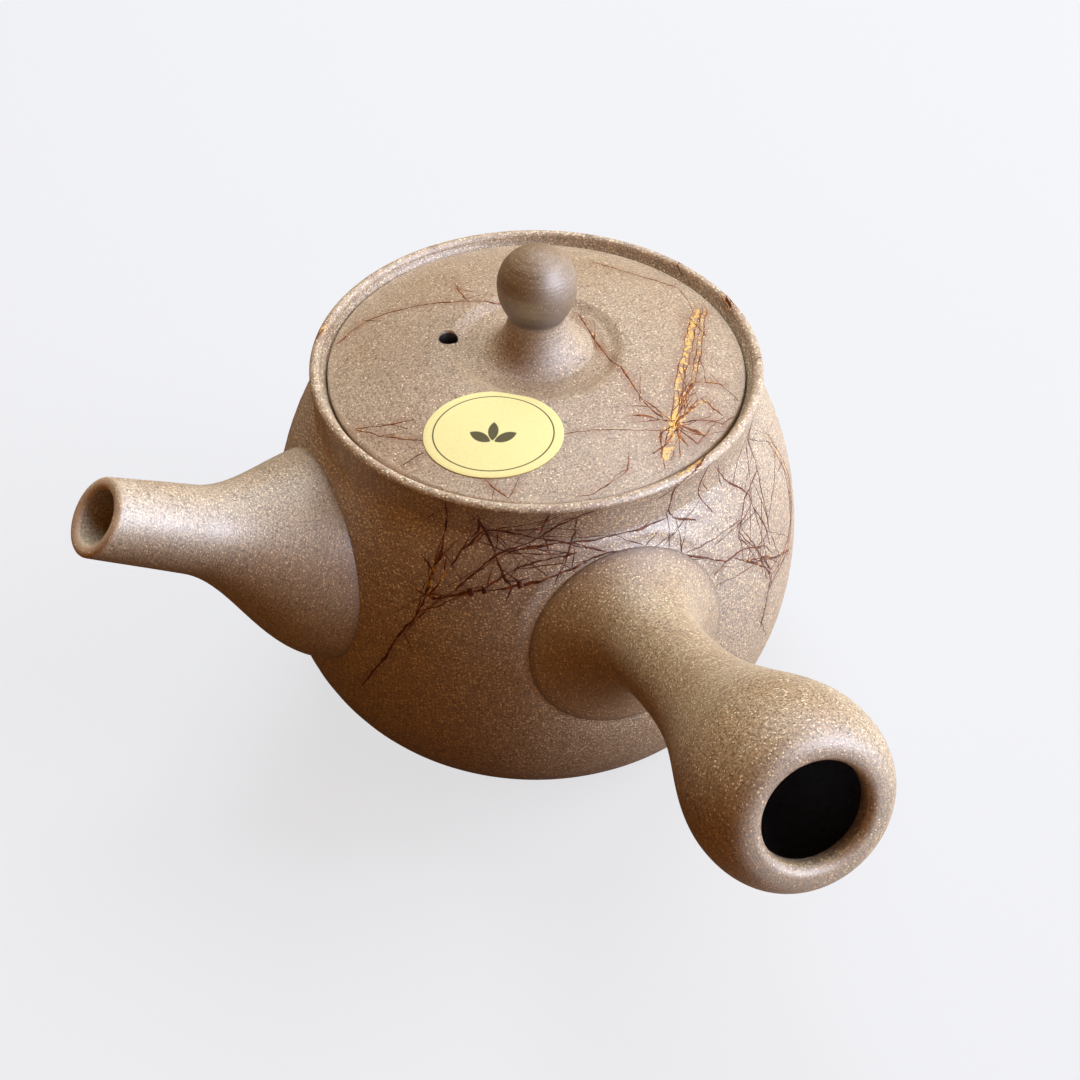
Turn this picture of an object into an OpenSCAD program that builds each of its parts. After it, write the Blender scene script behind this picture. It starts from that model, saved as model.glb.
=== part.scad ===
// Side-handled teapot: a thrown body with a luted spout, a luted hollow handle and a built-in
// strainer, and a loose inset lid with a ball knob and a small oval label.
// The pot stands on the plane z = 0 with its turning axis on z. The spout points to -x.

/* [Body] */
// Diameter of the flat base
base_d = 67.2; // [58:0.2:76]
// Level run of the outline's curve where it leaves the base
base_run = 12.9; // [9:0.1:16]
// Diameter of the belly at its widest ring
belly_d = 106.4; // [98:0.2:120]
// Height of the widest ring
belly_h = 32.6; // [28:0.2:38]
// Upright run of the outline's curve under the widest ring
belly_under = 17.6; // [14:0.1:21]
// Upright run of the outline's curve over the widest ring
belly_over = 12.5; // [9:0.1:15]
// Lean of the shoulder where it meets the collar, in degrees
shoulder_lean = 33.8; // [28:0.2:40]
// Leaning run of the outline's curve below the collar
shoulder_run = 12.7; // [9:0.1:15]
// Thickness of the thrown wall and base
wall_t = 3; // [2.4:0.1:3.6]

/* [Rim] */
// Outer diameter of the rim
rim_d = 86; // [82:0.2:92]
// Height of the rim above the base
rim_h = 77.2; // [72:0.2:84]
// Diameter at the foot of the collar
collar_d = 85.4; // [81:0.2:90]
// Height of the collar band below the rim
collar_h = 7.8; // [6:0.2:10]
// Thickness of the rim beside the lid
rim_t = 3; // [2.6:0.1:3.4]
// Width of the rounded lip on top of the rim
lip_w = 2; // [1.6:0.1:2.4]
// Width of the ledge that carries the lid
ledge_w = 3.5; // [3:0.1:4.5]
// Thickness of the ledge at its inner edge
ledge_t = 2.5; // [2:0.1:3]

/* [Spout] */
// Slope of the spout's axis above the level, in degrees
spout_rise = 31.6; // [26:0.2:36]
// Depth below the widest ring at which the spout's axis crosses the pot's axis
spout_drop = 14.1; // [11:0.1:17]
// Length of the spout outside the wall, along its axis
spout_l = 41.9; // [36:0.1:50]
// Outer diameter of the spout at its tip
spout_tip_d = 14.6; // [13:0.2:17]
// Outer diameter of the straight spout where the flare begins
spout_neck_d = 16.4; // [15:0.2:20]
// Outer diameter of the flared root
spout_root_d = 42.8; // [36:0.2:46]
// Distance outside the wall at which the flare ends
spout_flare_out = 23.1; // [18:0.1:26]
// Distance inside the wall at which the root is widest
spout_flare_in = 7.9; // [6:0.1:9]
// Rate at which the root draws in again towards the wall
spout_tuck = 0.037; // [0.02:0.001:0.05]
// Slant of the cut at the tip, in degrees
spout_cut = 11; // [0:1:20]
// Wall thickness of the spout
spout_t = 2.3; // [1.8:0.1:2.8]
// Diameter of the port through the body's wall behind the spout
port_d = 26; // [22:0.5:28]

/* [Strainer] */
// Diameter of the ball that the strainer's dome is part of
strainer_d = 32; // [30:0.5:38]
// Thickness of the dome
strainer_t = 2; // [1.6:0.1:2.4]
// Depth of the dome's edge below the outside of the wall
strainer_in = 1; // [0.6:0.1:1.4]
// Gap between the dome's edge and the port
strainer_gap = 0.2; // [0.1:0.05:0.3]
// Diameter of one strainer hole
strainer_hole_d = 1.4; // [1:0.1:1.6]
// Number of rings of holes round the middle one
strainer_rings = 4; // [2:1:4]
// Distance between two rings of holes
strainer_step = 2.4; // [2:0.1:2.4]

/* [Handle] */
// Angle from the spout round to the handle, seen from above, in degrees
handle_turn = 83; // [70:1:100]
// Slope of the handle's axis above the level, in degrees
handle_rise = 22.2; // [17:0.1:27]
// Depth below the widest ring at which the handle's axis crosses the pot's axis
handle_drop = 0.4; // [-2:0.1:3]
// Length of the handle outside the wall, along its axis
handle_l = 70.9; // [60:0.1:84]
// Outer diameter of the flared foot where it meets the wall
handle_foot_d = 44.2; // [36:0.2:46]
// Distance inside the wall at which the foot reaches that diameter
handle_foot_in = 6; // [5:0.1:7]
// Distance outside the wall at which the foot's flare has faded
handle_foot_out = 15.9; // [12:0.1:19]
// Power of the foot's flare
handle_flare = 2.2; // [1.8:0.1:2.6]
// Outer diameter of the slim neck
handle_neck_d = 16.2; // [15:0.2:20]
// Outer diameter of the swollen end
handle_bulb_d = 31.2; // [27:0.2:35]
// Distance of the widest ring of the swollen end from the end face
handle_bulb_in = 10.2; // [8:0.1:12]
// Power by which the swelling keeps to the end
handle_swell = 1.6; // [1:0.1:2]
// Squareness of the rounded end, where 2 is an ellipse
handle_end_square = 2.2; // [2:0.1:3]
// Diameter of the round hole in the end
handle_hole_d = 16.8; // [13:0.2:18]
// Wall thickness of the handle
handle_t = 3; // [2.4:0.1:3.4]

/* [Lid] */
// Depth of the lid's edge below the rim
lid_sink = 1.8; // [1:0.1:2.4]
// Thickness of the lid at its edge
lid_edge_t = 3; // [2.6:0.1:3.6]
// Thickness of the lid's plate
lid_t = 3; // [2.4:0.1:3.6]
// Height of the crown of the lid above its edge
lid_crown = 4.7; // [3:0.1:6]
// Power of the dome's curve from the dish to the edge
lid_dome = 1.5; // [1.2:0.1:2]
// Diameter of the shallow dish round the knob
dish_d = 33.6; // [30:0.2:38]
// Depth of the dish
dish_depth = 1; // [0.6:0.1:1.4]
// Width of the dish's sloping edge
dish_edge = 3; // [2:0.1:4]
// Length of the flange under the lid
flange_h = 8.5; // [6:0.1:10]
// Thickness of the flange
flange_t = 2.2; // [1.8:0.1:2.8]
// Diameter of the vent hole
vent_d = 3.6; // [2.4:0.1:4.4]
// Direction of the vent hole from the pot's axis, in degrees
vent_turn = 147; // [120:1:170]
// Gap between the lid's edge and the rim
lid_gap = 0.3; // [0.3:0.05:0.6]
// Gap between the lid and the ledge under it
seat_gap = 0.3; // [0.2:0.05:0.4]
// Gap between the flange and the ledge's inner edge
flange_gap = 0.4; // [0.3:0.05:0.7]

/* [Knob] */
// Diameter of the ball
knob_d = 14.8; // [12:0.2:17]
// Height of the knob above the floor of the dish
knob_h = 21.9; // [20:0.1:26]
// Diameter of the knob's neck
knob_neck_d = 11; // [9:0.2:11.6]
// Height of the top of the knob's flared foot
knob_foot_h = 5.6; // [4:0.1:6]
// Diameter of the knob's flared foot
knob_foot_d = 17; // [14:0.2:22]

/* [Label] */
// Length of the oval label
label_l = 25.2; // [18:0.2:28]
// Width of the oval label
label_w = 19.6; // [14:0.2:20]
// Thickness of the label
label_t = 0.2; // [0.15:0.05:0.3]
// Distance of the label's centre inside the middle of the dome's ring
label_in = 2.4; // [0:0.1:4]
// Direction of the label from the pot's axis, in degrees
label_turn = -134.5; // [-150:0.5:-115]
// Direction of the label's long axis, in degrees
label_tilt = -31; // [-60:1:0]

/* [Hidden] */
$fn = 96;
curve_steps = 12;
lip_steps = 6;
label_steps = 48;
meet_steps = 12;
past = 2;
first_ring = 6;
spout_turn = 180;

base_r = base_d / 2;
belly_r = belly_d / 2;
collar_r = collar_d / 2;
collar_z = rim_h - collar_h;
rim_r = rim_d / 2;
lip_r = lip_w / 2;
recess_r = rim_r - rim_t;
throat_r = recess_r - ledge_w;

lid_r = recess_r - lid_gap;
lid_edge_z = rim_h - lid_sink;
lid_seat_z = lid_edge_z - lid_edge_t;
ledge_z = lid_seat_z - seat_gap;
crown_z = lid_edge_z + lid_crown;
dish_r = dish_d / 2;
dish_z = crown_z - dish_depth;
flange_r = throat_r - flange_gap;
flange_in_r = flange_r - flange_t;
label_at = (dish_r + lid_r) / 2 - label_in;

stoneware = "#7a6557";
pale_stoneware = "#94806d";
paper_gold = "#dcc874";

function ease(s) = s * s * (3 - 2 * s);
function clamp01(s) = max(0, min(1, s));
function flip(points) = [for (i = [len(points) - 1 : -1 : 0]) points[i]];

function bezier(a, b, c, d, u) =
  pow(1 - u, 3) * a + 3 * u * pow(1 - u, 2) * b + 3 * u * u * (1 - u) * c + pow(u, 3) * d;
function bezier_points(a, b, c, d, first) =
  [for (i = [first : curve_steps]) bezier(a, b, c, d, i / curve_steps)];

// Outline of the body from the edge of its base, over the widest ring, to the foot of the collar
base_edge = [base_r, 0];
belly_ring = [belly_r, belly_h];
collar_foot = [collar_r, collar_z];
shoulder_end = collar_foot + shoulder_run * [sin(shoulder_lean), -cos(shoulder_lean)];
belly_outline = concat(
  bezier_points(base_edge, base_edge + [base_run, 0], belly_ring - [0, belly_under], belly_ring, 0),
  bezier_points(belly_ring, belly_ring + [0, belly_over], shoulder_end, collar_foot, 1)
);

// Radius and slope of the body's outside at a height
wall_table = [for (p = belly_outline) [p[1], p[0]]];
function wall_r(z) = lookup(z, wall_table);
function wall_slope(z) = atan2(wall_r(z - 1) - wall_r(z + 1), 2);

// Distance along a rising axis, from the pot's axis to the outside of the wall
function meet(z, rise, t, n) = n == 0 ? t : meet(z, rise, wall_r(z + t * sin(rise)) / cos(rise), n - 1);

spout_z = belly_h - spout_drop;
spout_wall_t = meet(spout_z, spout_rise, belly_r, meet_steps);
spout_tip_t = spout_wall_t + spout_l;
spout_slim_t = spout_wall_t + spout_flare_out;
spout_wide_t = spout_wall_t - spout_flare_in;
spout_start_t = spout_wide_t - spout_flare_in;

port_z = spout_z + spout_wall_t * sin(spout_rise);
port_r = wall_r(port_z);
port_rise = wall_slope(port_z);

handle_z = belly_h - handle_drop;
handle_wall_t = meet(handle_z, handle_rise, belly_r, meet_steps);
handle_end_t = handle_wall_t + handle_l;
handle_foot_t = handle_wall_t - handle_foot_in;
handle_fade_t = handle_wall_t + handle_foot_out;
handle_bulb_t = handle_end_t - handle_bulb_in;
handle_start_t = handle_foot_t - handle_foot_in;

// Points of an outline moved square to it, towards its axis
function across(p, q) = let (d = q - p) [d[1], -d[0]] / norm(d);
function inset(points, t) = [
  for (i = [0 : len(points) - 1])
    points[i] - t * across(points[max(i - 1, 0)], points[min(i + 1, len(points) - 1)])
];

chamber_outline = concat(
  [[0, wall_t], [base_r, wall_t]],
  [for (p = inset(belly_outline, wall_t)) if (p[1] > wall_t) p]
);

lip_outline = [
  for (i = [0 : lip_steps])
    [rim_r - lip_r + lip_r * cos(180 * i / lip_steps), rim_h - lip_r + lip_r * sin(180 * i / lip_steps)]
];

// Outer radius of the spout at a distance along its axis
function spout_taper(t) = (spout_neck_d - spout_tip_d) / 2 * (spout_tip_t - t) / (spout_tip_t - spout_slim_t);
function spout_flare(t) = ease(clamp01((spout_slim_t - t) / (spout_slim_t - spout_wide_t)));
function spout_r(t) =
  let (slim = spout_tip_d / 2 + spout_taper(t))
  let (wide = spout_root_d / 2 - spout_tip_d / 2 - spout_taper(spout_wide_t))
  slim + wide * spout_flare(t) - spout_tuck * pow(max(0, spout_wide_t - t), 2);

// Outer radius of the handle at a distance along its axis, up to its widest ring
function handle_flared(t) = pow(clamp01((handle_fade_t - t) / (handle_fade_t - handle_foot_t)), handle_flare);
function handle_swollen(t) =
  ease(pow(clamp01((t - handle_fade_t) / (handle_bulb_t - handle_fade_t)), handle_swell));
function handle_r(t) =
  handle_neck_d / 2
  + (handle_foot_d - handle_neck_d) / 2 * handle_flared(t)
  + (handle_bulb_d - handle_neck_d) / 2 * handle_swollen(t);

// Rounded end of the handle, from a radius at the widest ring to a radius at a face
function squared(x) = pow(x, 2 / handle_end_square);
function round_end(r0, t0, r1, t1) = [
  for (i = [1 : curve_steps])
    let (a = 90 * i / curve_steps)
    [r1 + (r0 - r1) * squared(cos(a)), t0 + (t1 - t0) * squared(sin(a))]
];

// Top of the lid at a distance from the pot's axis
function lid_top(r) =
  r > dish_r
    ? crown_z - lid_crown * pow((r - dish_r) / (lid_r - dish_r), lid_dome)
    : dish_z + dish_depth * ease(clamp01((r - dish_r + dish_edge) / dish_edge));

function lid_points(r0, r1, lift) = [
  for (i = [0 : curve_steps])
    let (r = r0 + (r1 - r0) * i / curve_steps)
    [r, lid_top(r) + lift]
];

module turned(points) {
  rotate_extrude()
    polygon(points);
}

// Stands a turned piece on an axis that crosses the pot's axis at a height
module on_axis(turn, rise, z) {
  translate([0, 0, z])
    rotate([0, 90 - rise, turn])
      children();
}

module on_spout() {
  on_axis(spout_turn, spout_rise, spout_z)
    children();
}

// Stands a piece square to the wall, where the spout's axis comes out
module on_port() {
  rotate(spout_turn)
    translate([port_r, 0, port_z])
      rotate([0, 90 - port_rise, 0])
        children();
}

module on_handle() {
  on_axis(spout_turn + handle_turn, handle_rise, handle_z)
    children();
}

module body_mass() {
  turned(concat([[0, 0]], belly_outline, lip_outline, [[0, rim_h - lip_r]]));
}

module chamber() {
  turned(concat(chamber_outline, [[throat_r, ledge_z - ledge_t], [0, ledge_z - ledge_t]]));
}

module body() {
  color(stoneware)
    difference() {
      turned(concat(
        [[0, 0]],
        belly_outline,
        lip_outline,
        [[recess_r, rim_h - lip_w - lip_r / 2], [recess_r, ledge_z]],
        [[throat_r, ledge_z], [throat_r, ledge_z - ledge_t]],
        flip(chamber_outline)
      ));
      on_port()
        cylinder(d = port_d, h = port_d, center = true);
    }
}

module spout() {
  steps = 2 * curve_steps;
  end_t = spout_tip_t + past;
  outline = [
    for (i = [0 : steps])
      let (t = spout_start_t + (end_t - spout_start_t) * i / steps)
      [spout_r(t), t]
  ];
  bore = inset(outline, spout_t);
  color(pale_stoneware)
    difference() {
      on_spout()
        difference() {
          turned(concat([[0, spout_start_t]], outline, [[0, end_t]]));
          turned(concat(
            [[0, spout_start_t - past], [bore[0][0], spout_start_t - past]],
            bore,
            [[bore[steps][0], end_t + past], [0, end_t + past]]
          ));
          translate([0, 0, spout_tip_t])
            rotate([0, -spout_cut, 0])
              translate([-spout_root_d, -spout_root_d, 0])
                cube(2 * spout_root_d);
        }
      body_mass();
    }
}

module handle() {
  steps = 2 * curve_steps;
  hole_r = handle_hole_d / 2;
  lip = handle_t / 2;
  outline = [
    for (i = [0 : steps])
      let (t = handle_start_t + (handle_bulb_t - handle_start_t) * i / steps)
      [handle_r(t), t]
  ];
  bore = inset(outline, handle_t);
  color(pale_stoneware)
    difference() {
      on_handle()
        difference() {
          turned(concat(
            [[0, handle_start_t]],
            outline,
            round_end(handle_bulb_d / 2, handle_bulb_t, hole_r + lip, handle_end_t),
            [[0, handle_end_t]]
          ));
          turned(concat(
            [[0, handle_start_t - past], [bore[0][0], handle_start_t - past]],
            bore,
            round_end(bore[steps][0], bore[steps][1], hole_r, handle_end_t - handle_t),
            [[hole_r, handle_end_t + past], [0, handle_end_t + past]]
          ));
        }
      body_mass();
    }
}

module strainer() {
  ball_r = strainer_d / 2;
  edge_r = port_d / 2 - strainer_gap;
  ball_out = sqrt(ball_r * ball_r - edge_r * edge_r) - strainer_in;
  color(stoneware)
    on_port()
      difference() {
        intersection() {
          translate([0, 0, ball_out])
            sphere(r = ball_r);
          translate([0, 0, -strainer_d])
            cylinder(r = edge_r, h = strainer_d);
        }
        translate([0, 0, ball_out + strainer_t])
          sphere(r = ball_r);
        translate([0, 0, -strainer_d]) {
          cylinder(d = strainer_hole_d, h = strainer_d, $fn = 24);
          for (ring = [1 : strainer_rings])
            for (i = [1 : first_ring * ring])
              rotate(360 * i / (first_ring * ring))
                translate([ring * strainer_step, 0, 0])
                  cylinder(d = strainer_hole_d, h = strainer_d, $fn = 24);
        }
      }
}

module lid_mass(lift = 0) {
  turned(concat(
    [[0, lid_seat_z + lift]],
    [[0, dish_z + lift]],
    lid_points(dish_r - dish_edge, dish_r, lift),
    lid_points(dish_r, lid_r, lift),
    [[lid_r, lid_seat_z + lift]]
  ));
}

module lid() {
  color(stoneware)
    difference() {
      union() {
        lid_mass();
        translate([0, 0, lid_seat_z - flange_h])
          cylinder(r = flange_r, h = flange_h + lid_edge_t / 2);
      }
      turned(concat(
        [[0, lid_seat_z - flange_h - past], [flange_in_r, lid_seat_z - flange_h - past]],
        flip(lid_points(dish_r, flange_in_r, -lid_t)),
        [[dish_r - dish_edge, dish_z - lid_t], [0, dish_z - lid_t]]
      ));
      rotate(vent_turn)
        translate([dish_r, 0, lid_seat_z - flange_h])
          cylinder(d = vent_d, h = flange_h + lid_edge_t + lid_crown + past, $fn = 32);
    }
}

module knob() {
  ball_r = knob_d / 2;
  ball_z = dish_z + knob_h - ball_r;
  neck_r = knob_neck_d / 2;
  foot_r = knob_foot_d / 2;
  color(stoneware)
    union() {
      translate([0, 0, ball_z])
        sphere(r = ball_r);
      turned(concat(
        [[0, dish_z]],
        [
          for (i = [curve_steps : -1 : 0])
            let (a = 90 * i / curve_steps)
            [neck_r + (foot_r - neck_r) * (1 - cos(a)), dish_z + knob_foot_h * (1 - sin(a))]
        ],
        [[neck_r, ball_z], [0, ball_z]]
      ));
    }
}

module label() {
  color(paper_gold)
    difference() {
      intersection() {
        lid_mass(label_t);
        rotate(label_turn)
          translate([label_at, 0, 0])
            rotate(label_tilt - label_turn)
              linear_extrude(crown_z + past)
                polygon([
                  for (i = [0 : label_steps - 1])
                    let (a = 360 * i / label_steps)
                    [label_l / 2 * cos(a), label_w / 2 * sin(a)]
                ]);
      }
      lid_mass();
    }
}

body();
spout();
handle();
strainer();
lid();
knob();
label();
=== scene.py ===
"""Looks of a side-handled stoneware teapot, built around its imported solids.

Sizes are in millimetres, as on the part, and the meshes are in metres.
"""

import logging
import math
import random
from collections.abc import Callable
from dataclasses import dataclass, field
from enum import Enum
from functools import partial

import bpy
import numpy as np
from mathutils import Matrix, Vector
from mathutils.bvhtree import BVHTree
from mathutils.kdtree import KDTree


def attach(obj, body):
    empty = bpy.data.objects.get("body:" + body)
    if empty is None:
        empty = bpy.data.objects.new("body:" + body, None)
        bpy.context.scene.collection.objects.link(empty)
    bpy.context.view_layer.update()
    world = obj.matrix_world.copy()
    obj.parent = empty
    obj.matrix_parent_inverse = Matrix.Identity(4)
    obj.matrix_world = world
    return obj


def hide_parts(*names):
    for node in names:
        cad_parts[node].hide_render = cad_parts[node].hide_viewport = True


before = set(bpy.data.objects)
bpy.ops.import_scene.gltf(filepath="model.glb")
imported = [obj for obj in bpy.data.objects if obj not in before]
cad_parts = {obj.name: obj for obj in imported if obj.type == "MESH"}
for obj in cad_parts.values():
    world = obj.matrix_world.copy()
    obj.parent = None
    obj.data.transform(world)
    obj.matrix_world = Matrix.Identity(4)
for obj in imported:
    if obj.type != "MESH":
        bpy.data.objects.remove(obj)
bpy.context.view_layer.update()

MM = 0.001
MERGE = 1e-6
SMOOTH_ANGLE = math.radians(38)
LOG = logging.getLogger("teapot")

# Metres above and beside the middle of the pot from which threads are dropped on it
ABOVE = 0.12
BEYOND = 0.08
# Length in millimetres and share of each wave in a wandering line
WAVES = ((9.0, 0.55), (3.6, 0.3), (1.4, 0.15))
WAVE_SPREAD = (0.7, 1.3)
WAVE_STARTS = (0.0, 6.3)

Outline = list[tuple[float, float]]
Piece = bpy.types.Object
Node = bpy.types.Node
Socket = bpy.types.NodeSocket
Adder = Callable[..., Node]
Trace = tuple[np.ndarray, np.ndarray]
Row = tuple[np.ndarray, np.ndarray]


class Grip(Enum):
    """CAD bodies that the pieces ride on."""

    POT = "pot"
    LID = "lid"


class Ground(Enum):
    """Surfaces that an ash thread can lie on, by how its points are given."""

    WALL = "turn in degrees and height, seen from outside"
    RIM = "turn in degrees and radius, seen from above"
    LID = "x and y, seen from above"


class Shine(Enum):
    """What a lamp lights: everything, only the matt colour, or only the sheen."""

    FULL = "full"
    MATT = "matt"
    SHEEN = "sheen"


# Modelling


def deselect() -> None:
    """Leaves edit mode and deselects every object."""
    if bpy.context.object and bpy.context.object.mode != "OBJECT":
        bpy.ops.object.mode_set(mode="OBJECT")
    bpy.ops.object.select_all(action="DESELECT")


def only(piece: Piece) -> None:
    """Makes a piece the one selected and active object.

    Args:
        piece: The piece.
    """
    deselect()
    piece.select_set(True)
    bpy.context.view_layer.objects.active = piece


def close_up(piece: Piece) -> None:
    """Merges a piece's doubles and points its faces outwards.

    Args:
        piece: The piece.
    """
    only(piece)
    bpy.ops.object.mode_set(mode="EDIT")
    bpy.ops.mesh.select_all(action="SELECT")
    bpy.ops.mesh.remove_doubles(threshold=MERGE)
    bpy.ops.mesh.normals_make_consistent(inside=False)
    bpy.ops.object.mode_set(mode="OBJECT")


def smooth(piece: Piece) -> None:
    """Shades a piece smooth, with its sharp edges kept."""
    only(piece)
    bpy.ops.object.shade_smooth_by_angle(angle=SMOOTH_ANGLE)


def apply_modifiers(piece: Piece) -> None:
    """Applies every modifier of a piece in order.

    Args:
        piece: The piece.
    """
    only(piece)
    for name in [m.name for m in piece.modifiers]:
        bpy.ops.object.modifier_apply(modifier=name)


def turn(name: str, outline: Outline, steps: int) -> Piece:
    """Draws an outline point by point and turns it about the Z axis, as on a wheel.

    Args:
        name: Name of the new piece.
        outline: Radius and height of each point, in millimetres.
        steps: Number of faces round the axis.

    Returns:
        The turned piece, with its place in its mesh.
    """
    deselect()
    r, z = outline[0]
    bpy.ops.mesh.primitive_plane_add(size=MM, location=(r * MM, 0, z * MM))
    piece = bpy.context.object
    piece.name = piece.data.name = name
    bpy.ops.object.mode_set(mode="EDIT")
    bpy.ops.mesh.select_all(action="SELECT")
    bpy.ops.mesh.merge(type="CENTER")
    for (r0, z0), (r1, z1) in zip(outline, outline[1:]):
        move = ((r1 - r0) * MM, 0, (z1 - z0) * MM)
        bpy.ops.mesh.extrude_region_move(TRANSFORM_OT_translate={"value": move})
    bpy.ops.mesh.select_all(action="SELECT")
    bpy.ops.mesh.spin(steps=steps, angle=2 * math.pi, center=(0, 0, 0), axis=(0, 0, 1))
    bpy.ops.object.mode_set(mode="OBJECT")
    bpy.ops.object.transform_apply(location=True, rotation=True, scale=True)
    close_up(piece)
    return piece


def read(piece: Piece) -> np.ndarray:
    """Reads a piece's points.

    Args:
        piece: The piece.

    Returns:
        Their places in millimetres, one row each.
    """
    flat = np.zeros(len(piece.data.vertices) * 3, np.float64)
    piece.data.vertices.foreach_get("co", flat)
    return flat.reshape(-1, 3) / MM


def write(piece: Piece, points: np.ndarray) -> None:
    """Moves a piece's points to places in millimetres."""
    piece.data.vertices.foreach_set("co", (points * MM).astype(np.float32).ravel())
    piece.data.update()


def paint(piece: Piece, name: str, values: np.ndarray) -> None:
    """Keeps a value for each point of a piece, which its finish reads.

    Args:
        piece: The piece.
        name: Name of the attribute.
        values: One number for each point.
    """
    layer = piece.data.attributes.get(name) or piece.data.attributes.new(name, "FLOAT", "POINT")
    layer.data.foreach_set("value", values.astype(np.float32))


def turn_to_grid(name: str, grid: np.ndarray) -> Piece:
    """Turns a flat blank of one ring for each row of a grid, and draws its points out to the grid.

    Args:
        name: Name of the new piece.
        grid: Places in millimetres, by row and by step round the axis.

    Returns:
        The shaped piece.
    """
    rows, steps = grid.shape[:2]
    piece = turn(name, [(float(i + 1), 0.0) for i in range(rows)], steps)
    blank = read(piece)
    ring = np.rint(off_axis(blank)).astype(int) - 1
    step = np.rint(np.arctan2(blank[:, 1], blank[:, 0]) / (2 * math.pi) * steps).astype(int) % steps
    write(piece, grid[ring, step])
    close_up(piece)
    return piece


def cut(piece: Piece, tool: Piece) -> None:
    """Cuts a piece with a closed tool and removes the tool.

    Args:
        piece: The piece to cut.
        tool: The closed shape to take away.
    """
    modifier = piece.modifiers.new("cut", "BOOLEAN")
    modifier.operation = "DIFFERENCE"
    modifier.solver = "EXACT"
    modifier.object = tool
    apply_modifiers(piece)
    bpy.data.objects.remove(tool)


def seat(piece: Piece, body: Grip, slot: str, finish: bpy.types.Material, *nodes: str) -> None:
    """Dresses a piece and seats it in the frame.

    Args:
        piece: The finished piece.
        body: CAD body that it rides on.
        slot: Name of a material slot; not used.
        finish: Material of the whole piece.
        nodes: CAD nodes that the piece stands for.
    """
    piece.data.materials.clear()
    piece.data.materials.append(finish)
    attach(piece, body.value)
    if nodes:
        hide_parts(*nodes)
    LOG.info("%s: %d points, %d faces", piece.name, len(piece.data.vertices), len(piece.data.polygons))


def ease(s: np.ndarray) -> np.ndarray:
    """Returns a smooth step of values that are held between 0 and 1."""
    s = np.clip(s, 0, 1)
    return s * s * (3 - 2 * s)


def bezier(a: np.ndarray, b: np.ndarray, c: np.ndarray, d: np.ndarray, count: int) -> np.ndarray:
    """Returns points along a cubic curve, both ends among them."""
    u = np.linspace(0, 1, count)[:, None]
    return (1 - u) ** 3 * a + 3 * u * (1 - u) ** 2 * b + 3 * u * u * (1 - u) * c + u**3 * d


def arc(r: float, z: float, wide: float, high: float, turns: np.ndarray) -> Outline:
    """Returns points at angles on an oval, given the place of its middle and its half sizes."""
    return [(r + wide * math.cos(a), z + high * math.sin(a)) for a in turns]


def angles(steps: int) -> np.ndarray:
    """Returns evenly spaced angles of one full turn."""
    return np.arange(steps) * 2 * math.pi / steps


def unit(rows: np.ndarray) -> np.ndarray:
    """Returns each row at a length of 1."""
    return rows / np.maximum(np.linalg.norm(rows, axis=1, keepdims=True), 1e-9)


def off_axis(points: np.ndarray) -> np.ndarray:
    """Returns the distance of each point from the Z axis."""
    return np.hypot(points[:, 0], points[:, 1])


def outwards(points: np.ndarray) -> np.ndarray:
    """Returns the outward direction at each point of an outline that is drawn upwards."""
    way = unit(np.gradient(points, axis=0))
    return np.stack([way[:, 1], -way[:, 0]], axis=1)


def pairs(points: np.ndarray) -> Outline:
    """Returns rows of two numbers as plain pairs."""
    return [(float(r), float(z)) for r, z in points]


# Finishes


def linear(colour: str) -> tuple[float, float, float, float]:
    """Turns an sRGB hex colour to linear values.

    Args:
        colour: The hex colour.

    Returns:
        Red, green, blue and alpha.
    """
    parts = [int(colour[i : i + 2], 16) / 255 for i in (1, 3, 5)]
    r, g, b = (c / 12.92 if c <= 0.04045 else ((c + 0.055) / 1.055) ** 2.4 for c in parts)
    return r, g, b, 1.0


def add_node(tree: bpy.types.NodeTree, kind: str, inputs: dict | None = None, **settings) -> Node:
    """Adds a shader node with its settings, values and links.

    Args:
        tree: Node tree of the material or world.
        kind: Kind of node, without the prefix that all shader nodes share.
        inputs: For each input by name or place, its value, an output to link, or a node whose first
            output is linked.
        settings: Properties of the node.

    Returns:
        The new node.
    """
    node = tree.nodes.new("ShaderNode" + kind)
    for key, value in settings.items():
        setattr(node, key, value)
    for key, value in (inputs or {}).items():
        source = value.outputs[0] if isinstance(value, Node) else value
        if isinstance(source, Socket):
            tree.links.new(source, node.inputs[key])
        else:
            node.inputs[key].default_value = source
    return node


def new_material(name: str) -> tuple[bpy.types.Material, Adder]:
    """Starts a material with an empty node tree.

    Args:
        name: Name of the material.

    Returns:
        The material, and what adds a node to it.
    """
    material = bpy.data.materials.new(name)
    material.use_nodes = True
    material.node_tree.nodes.clear()
    return material, partial(add_node, material.node_tree)


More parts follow.
